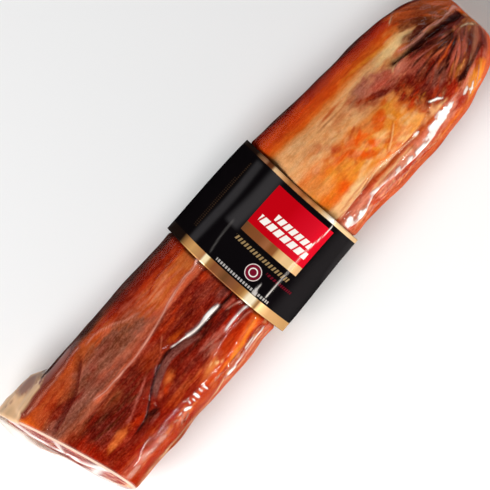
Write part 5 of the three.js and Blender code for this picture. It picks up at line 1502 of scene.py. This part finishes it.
def make_film():
    """Clear, mirrored on its outer side as far as the painted gloss says, and white as far as the painted
    share of milky film and painted highlight says: clear (1 - m) + mirror m, then that (1 - w) + white w."""
    material, tree, milky, output = new_material("clear_film")
    milk_and_highlight = painted(tree, "milk_and_highlight")
    creases = add(tree, "Group", {"Length": 5.0, "Width": 1.4}, node_tree=grain_group)
    lift = math_node(tree, "MULTIPLY", creases.outputs["Height"], painted(tree, "loose"))
    bump = add(tree, "Bump", {"Strength": 0.3, "Distance": 0.0002, "Height": lift})
    clear = add(tree, "BsdfTransparent", {"Color": (1, 1, 1, 1)})
    mirror = add(tree, "BsdfGlossy", {"Roughness": 0.06, "Normal": bump.outputs[0]})
    inner = add(tree, "NewGeometry").outputs["Backfacing"]
    outer = math_node(tree, "MULTIPLY_ADD", inner, -FILM_GLOSS, FILM_GLOSS)
    outer = math_node(tree, "MULTIPLY", outer, painted(tree, "gloss"))
    glossy = add(tree, "MixShader", {0: outer, 1: clear.outputs[0], 2: mirror.outputs[0]})
    # the milky layer shows the painted highlights too, as white
    tree.links.new(painted(tree, "milk", "Color"), milky.inputs["Base Color"])
    milky.inputs["Roughness"].default_value = 0.3
    both = add(tree, "MixShader", {0: milk_and_highlight, 1: glossy.outputs[0], 2: milky.outputs[0]})
    tree.links.new(both.outputs[0], output.inputs["Surface"])
    return material


# %% Group: dashes
def make_dashes():
    """1 on slanted dashes of a given pitch: the fraction of (across + slant along) / pitch is small."""
    sizes = {"Across": 0.0, "Along": 0.0, "Pitch": 3.0, "Share": 0.7, "Slant": 0.0}
    group, given, made = new_group("dashes", sizes, ["Mask"])
    leaning = math_node(group, "MULTIPLY_ADD", given["Along"], given["Slant"], given["Across"])
    phase = math_node(group, "FRACT", math_node(group, "DIVIDE", leaning, given["Pitch"]))
    off = math_node(group, "ABSOLUTE", math_node(group, "SUBTRACT", phase, 0.5))
    inside = math_node(group, "SUBTRACT", math_node(group, "MULTIPLY", given["Share"], 0.5), off)
    group.links.new(remap(group, inside, -0.05, 0.05), made["Mask"])
    return group


# %% Group: plain disc with rings
DISC_RINGS = [(0.95, 0.035), (0.48, 0.06)]  # middle and half width, as shares of the disc's radius


def make_disc():
    """Two masks from the distance to a middle: the disc itself, and two thin rings in it."""
    sizes = {"Across": 0.0, "Along": 0.0, "Middle across": 0.0, "Middle along": 0.0, "Radius": 4.0}
    group, given, made = new_group("disc", sizes, ["Disc", "Rings"])
    dx = math_node(group, "SUBTRACT", given["Across"], given["Middle across"])
    dy = math_node(group, "SUBTRACT", given["Along"], given["Middle along"])
    squares = math_node(group, "MULTIPLY_ADD", dy, dy, math_node(group, "MULTIPLY", dx, dx))
    share = math_node(group, "DIVIDE", math_node(group, "SQRT", squares), given["Radius"])
    rings = []
    for middle, half in DISC_RINGS:
        off = math_node(group, "ABSOLUTE", math_node(group, "SUBTRACT", share, middle))
        rings.append(remap(group, off, half + 0.03, half - 0.03))
    group.links.new(remap(group, share, 1.03, 0.97), made["Disc"])
    group.links.new(math_node(group, "MAXIMUM", *rings), made["Rings"])
    return group


dash_group = make_dashes()
disc_group = make_disc()

# %% Inks, foils and printed fields
BLACK_INK = (0.0036, 0.0028, 0.0034)
PALE_INK = (0.9, 0.86, 0.8)
WINE_INK = (0.16, 0.006, 0.02)
FOIL_METAL = 0.2
DISC = {"Middle across": -8.8, "Middle along": -11.5, "Radius": 4.2}
# Painted reflections in the foils and painted light and shade across the red panel, as ramps of tones
SHEENS = {  # mm round from the top, towards +Y, and the tone there
    "red ink with painted shading": [
        (-28, 0.6, 0.004, 0.016), (-18, 0.66, 0.006, 0.02), (-10, 0.6, 0.003, 0.013),
        (-3, 0.5, 0.001, 0.006), (10, 0.5, 0.001, 0.006)],
    "foil by the cut": [
        (-44, 0.46, 0.26, 0.1), (-30, 0.52, 0.29, 0.12), (-21, 0.86, 0.56, 0.27),
        (-20, 0.28, 0.13, 0.045), (-19.2, 0.5, 0.28, 0.11), (-17.6, 1, 0.88, 0.62),
        (-14.4, 1, 0.88, 0.62), (-12.6, 0.64, 0.36, 0.13), (-11, 0.4, 0.18, 0.05),
        (-8, 0.28, 0.1, 0.03), (-4, 0.24, 0.085, 0.034), (0, 0.155, 0.062, 0.021),
        (4, 0.27, 0.1, 0.037), (7.4, 0.25, 0.08, 0.028), (10.6, 0.4, 0.19, 0.054),
        (11.4, 0.98, 0.78, 0.44), (13.4, 1, 0.88, 0.58), (14.2, 0.44, 0.19, 0.07),
        (21, 0.76, 0.41, 0.14), (26, 0.52, 0.25, 0.08), (30.2, 0.012, 0.006, 0.004),
        (60, 0.008, 0.005, 0.004)],
    "foil bar": [
        (-28, 0.56, 0.34, 0.17), (-21.4, 0.64, 0.38, 0.18), (-20.4, 0.94, 0.74, 0.44),
        (-19.4, 0.8, 0.54, 0.25), (-15, 0.92, 0.6, 0.29), (-11.6, 0.7, 0.4, 0.15),
        (-10, 0.3, 0.1, 0.03), (-7.4, 0.26, 0.085, 0.023), (-5, 0.36, 0.13, 0.05),
        (-1, 0.25, 0.078, 0.026), (6, 0.22, 0.072, 0.022), (10, 0.14, 0.058, 0.024)],
    "foil by the gathered end": [
        (-44, 0.62, 0.42, 0.22), (-24, 0.78, 0.54, 0.3), (-20, 1, 0.94, 0.84),
        (-17, 0.92, 0.68, 0.42), (-13, 0.74, 0.38, 0.14), (-9, 0.5, 0.18, 0.055),
        (-5.6, 0.56, 0.23, 0.08), (-2, 0.38, 0.12, 0.032), (2, 0.54, 0.2, 0.075),
        (6, 0.4, 0.15, 0.044), (10, 0.68, 0.34, 0.14), (13, 0.88, 0.5, 0.24),
        (16, 0.82, 0.54, 0.29), (17.2, 0.18, 0.05, 0.016), (20, 0.13, 0.034, 0.011),
        (22, 0.4, 0.18, 0.09), (26, 0.26, 0.12, 0.055), (30, 0.014, 0.006, 0.004),
        (60, 0.008, 0.005, 0.004)],
}
# Printed field: what it is, ink, middle across, middle along, half across, half along, pitch, share, slant
PRINT = [
    ("stripe by the gathered end", "foil by the gathered end", 0, 31.3, 200, 1.15, 0, 0, 0),
    ("panel", "red ink with painted shading", -8.9, 16.1, 18.2, 11.3, 0, 0, 0),
    ("bar under the panel", "foil bar", -8.9, 2.4, 18.2, 2.45, 0, 0, 0),
    ("upper plain blocks", PALE_INK, -10.6, 15.2, 10.8, 1.7, 3.5, 0.74, 0.35),
    ("lower plain blocks", PALE_INK, -8.8, 10.2, 14.8, 1.8, 4.2, 0.78, 0.35),
    ("fine gold rule", (0.3, 0.2, 0.09), -8.2, -4, 17.2, 1.1, 1.9, 0.55, 0.3),
    ("fine dark red rule", (0.12, 0.004, 0.012), -23.5, -7.9, 9.5, 0.7, 1.7, 0.6, 0.3),
    ("fine pale rule", (0.42, 0.4, 0.38), -8, -18.1, 16.6, 0.7, 1.55, 0.6, 0),
    ("fine brown rule", (0.04, 0.022, 0.012), 28.6, 6, 0.5, 20, 13, 0.55, 12),
    ("second fine brown rule", (0.03, 0.017, 0.01), 30.2, 1, 0.4, 15, 13, 0.55, 12),
    ("stripe by the cut", "foil by the cut", 0, -22.2, 200, 2.45, 0, 0, 0),
]
print("printed over each other:", ", ".join(field[0] for field in PRINT))


# %% Material of the card
def sheen_tone(tree, across, stops):
    """A ramp of tones round the sleeve: painted reflections, light and shade, as a glossy print shows them.
    """
    span = stops[-1][0] - stops[0][0]
    ramp = add(tree, "ValToRGB", {0: remap(tree, across, stops[0][0], stops[-1][0])})
    while len(ramp.color_ramp.elements) < len(stops):
        ramp.color_ramp.elements.new(0.5)
    for element, (mm_round, *tint) in zip(ramp.color_ramp.elements, stops):
        element.position = (mm_round - stops[0][0]) / span
        element.color = (*tint, 1)
    return ramp.outputs[0]


def make_card():
    """Black coated card with its painted sheens; the printed fields, some with painted reflections and
    shading, are laid over it one after another, and the foils among them are a little metallic."""
    material, tree, shader, _ = new_material("printed_card")
    uv = add(tree, "UVMap", uv_map="print")
    centred = add(tree, "VectorMath", {0: uv.outputs[0], 1: (0.5, 0.5, 0)}, operation="SUBTRACT")
    in_mm = {0: centred.outputs[0], "Scale": 1 / PRINT_SCALE}
    mm = add(tree, "VectorMath", in_mm, operation="SCALE")
    axes = add(tree, "SeparateXYZ", {0: mm.outputs[0]})
    place = {"Across": axes.outputs[0], "Along": axes.outputs[1]}
    sheens = {name: sheen_tone(tree, axes.outputs[0], stops) for name, stops in SHEENS.items()}
    ink = add(tree, "RGB").outputs[0]
    ink.default_value = (*BLACK_INK, 1)
    colour = laid_over(tree, painted(tree, "painted_sheen"), ink, linear(TONES["pale_of_painted_sheen"]))
    metal = 0.0
    for _, tint, across, lengthwise, half_across, half_along, pitch, share, slant in PRINT:
        mask = add(tree, "Group", {
            **place, "Middle across": across, "Middle along": lengthwise,
            "Half across": half_across, "Half along": half_along}, node_tree=field_group).outputs[0]
        if pitch:
            dashes = add(tree, "Group", {**place, "Pitch": pitch, "Share": share, "Slant": slant},
                         node_tree=dash_group).outputs[0]
            mask = math_node(tree, "MULTIPLY", mask, dashes)
        colour = laid_over(tree, mask, colour, sheens.get(tint, tint))
        if str(tint).startswith("foil"):
            metal = math_node(tree, "MULTIPLY_ADD", mask, FOIL_METAL, metal)
    disc, rings = add(tree, "Group", {**place, **DISC}, node_tree=disc_group).outputs
    colour = laid_over(tree, disc, colour, WINE_INK)
    colour = laid_over(tree, rings, colour, PALE_INK)
    tree.links.new(colour, shader.inputs["Base Color"])
    tree.links.new(metal, shader.inputs["Metallic"])
    shader.inputs["Roughness"].default_value = 0.42
    shader.inputs["Specular IOR Level"].default_value = 0.0
    return material


meat.data.materials.append(make_meat())
film.data.materials.append(make_film())
label.data.materials.append(make_card())
print("materials:", [m.name for m in bpy.data.materials])

# %% [markdown]
# ## What each piece stands for
#
# The film and the meat replace the one solid that stood for both. The printed ring replaces the plain
# sleeve. All of them ride on the part's only body.

# %% Ride and replace
for piece, node, slot in ((film, "loin_in_film", "cured_loin"), (meat, "loin_in_film", "cured_loin"),
                          (label, "label_sleeve", "printed_sleeve")):
    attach(piece, "root")
    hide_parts(node)

# %% [markdown]
# ## Studio
#
# The pack lies on a plain pale floor. A long narrow softbox on one side draws bright streaks along
# the shoulder, beside the highlights painted on the film. The sky is dim overhead and bright near the
# horizon, so that the flat top stays deep in colour and the sides get soft light. The camera looks
# straight down.

# %% Floor
REACH = 4
FLOOR_DROP = 0.0004  # metres below the part
corners = [(-REACH, -REACH), (REACH, -REACH), (REACH, REACH), (-REACH, REACH)]
floor_mesh = bpy.data.meshes.new("floor")
floor_mesh.from_pydata([(*corner, -FLOOR_DROP) for corner in corners], [], [(0, 1, 2, 3)])
floor = new_object("floor", floor_mesh)
floor_material, _, floor_shader, _ = new_material("pale_floor")
floor_shader.inputs["Base Color"].default_value = (0.95, 0.95, 0.95, 1)
floor_shader.inputs["Roughness"].default_value = 0.8
floor_shader.inputs["Specular IOR Level"].default_value = 0.1
floor_mesh.materials.append(floor_material)


# %% Lights
def area_light(name, place, target, size, brightness, tint=(1, 1, 1)):
    """A rectangular softbox that faces its target, in white or a tint. Its power is brightness times pi
    times its area."""
    light = bpy.data.lights.new(name, "AREA")
    light.color = tint
    light.shape = "RECTANGLE"
    light.size, light.size_y = size
    light.energy = brightness * math.pi * size[0] * size[1]
    lamp = new_object(name, light)
    lamp.location = place
    lamp.rotation_euler = Vector(np.array(target) - np.array(place)).to_track_quat("-Z", "Y").to_euler()


KEY_TILT = math.radians(77)
KEY_REACH = 1.1
LOIN_MIDDLE = (0, 0, 0.03)
key_place = (0, -KEY_REACH * math.sin(KEY_TILT), LOIN_MIDDLE[2] + KEY_REACH * math.cos(KEY_TILT))
area_light("key strip", key_place, LOIN_MIDDLE, (0.9, 0.045), 80, (1, 0.94, 0.87))
area_light("softbox by the cut", (-1.45, 0.1, 1.25), LOIN_MIDDLE, (1.25, 1.25), 9.6)
area_light("softbox by the gathered end", (1.15, 0.15, 0.42), (0.05, 0, 0.03), (0.9, 0.5), 2.4)
print("lights:", [light.name for light in bpy.data.lights])

# %% Sky
world = bpy.data.worlds.new("studio")
scene.world = world
world.use_nodes = True
tree = world.node_tree
tree.nodes.clear()
direction = add(tree, "TexCoord").outputs["Generated"]
height = add(tree, "SeparateXYZ", {0: direction}).outputs[2]
fade = remap(tree, height, 0.05, 0.85, 0.14, 0.07, interpolation_type="SMOOTHSTEP")
background = add(tree, "Background", {"Color": (1, 1, 1, 1), "Strength": fade})
tree.links.new(background.outputs[0], add(tree, "OutputWorld").inputs["Surface"])

# %% Camera
EYE = (-0.0044, 0.00275, 1.025)
PICTURE_TURN = math.radians(42.14)
camera_data = bpy.data.cameras.new("camera")
camera_data.lens = 152
camera_data.sensor_width = 36
camera = new_object("camera", camera_data)
camera.location = EYE
camera.rotation_euler = (0, 0, PICTURE_TURN - math.pi / 2)
scene.camera = camera
scene.view_settings.view_transform = "Standard"
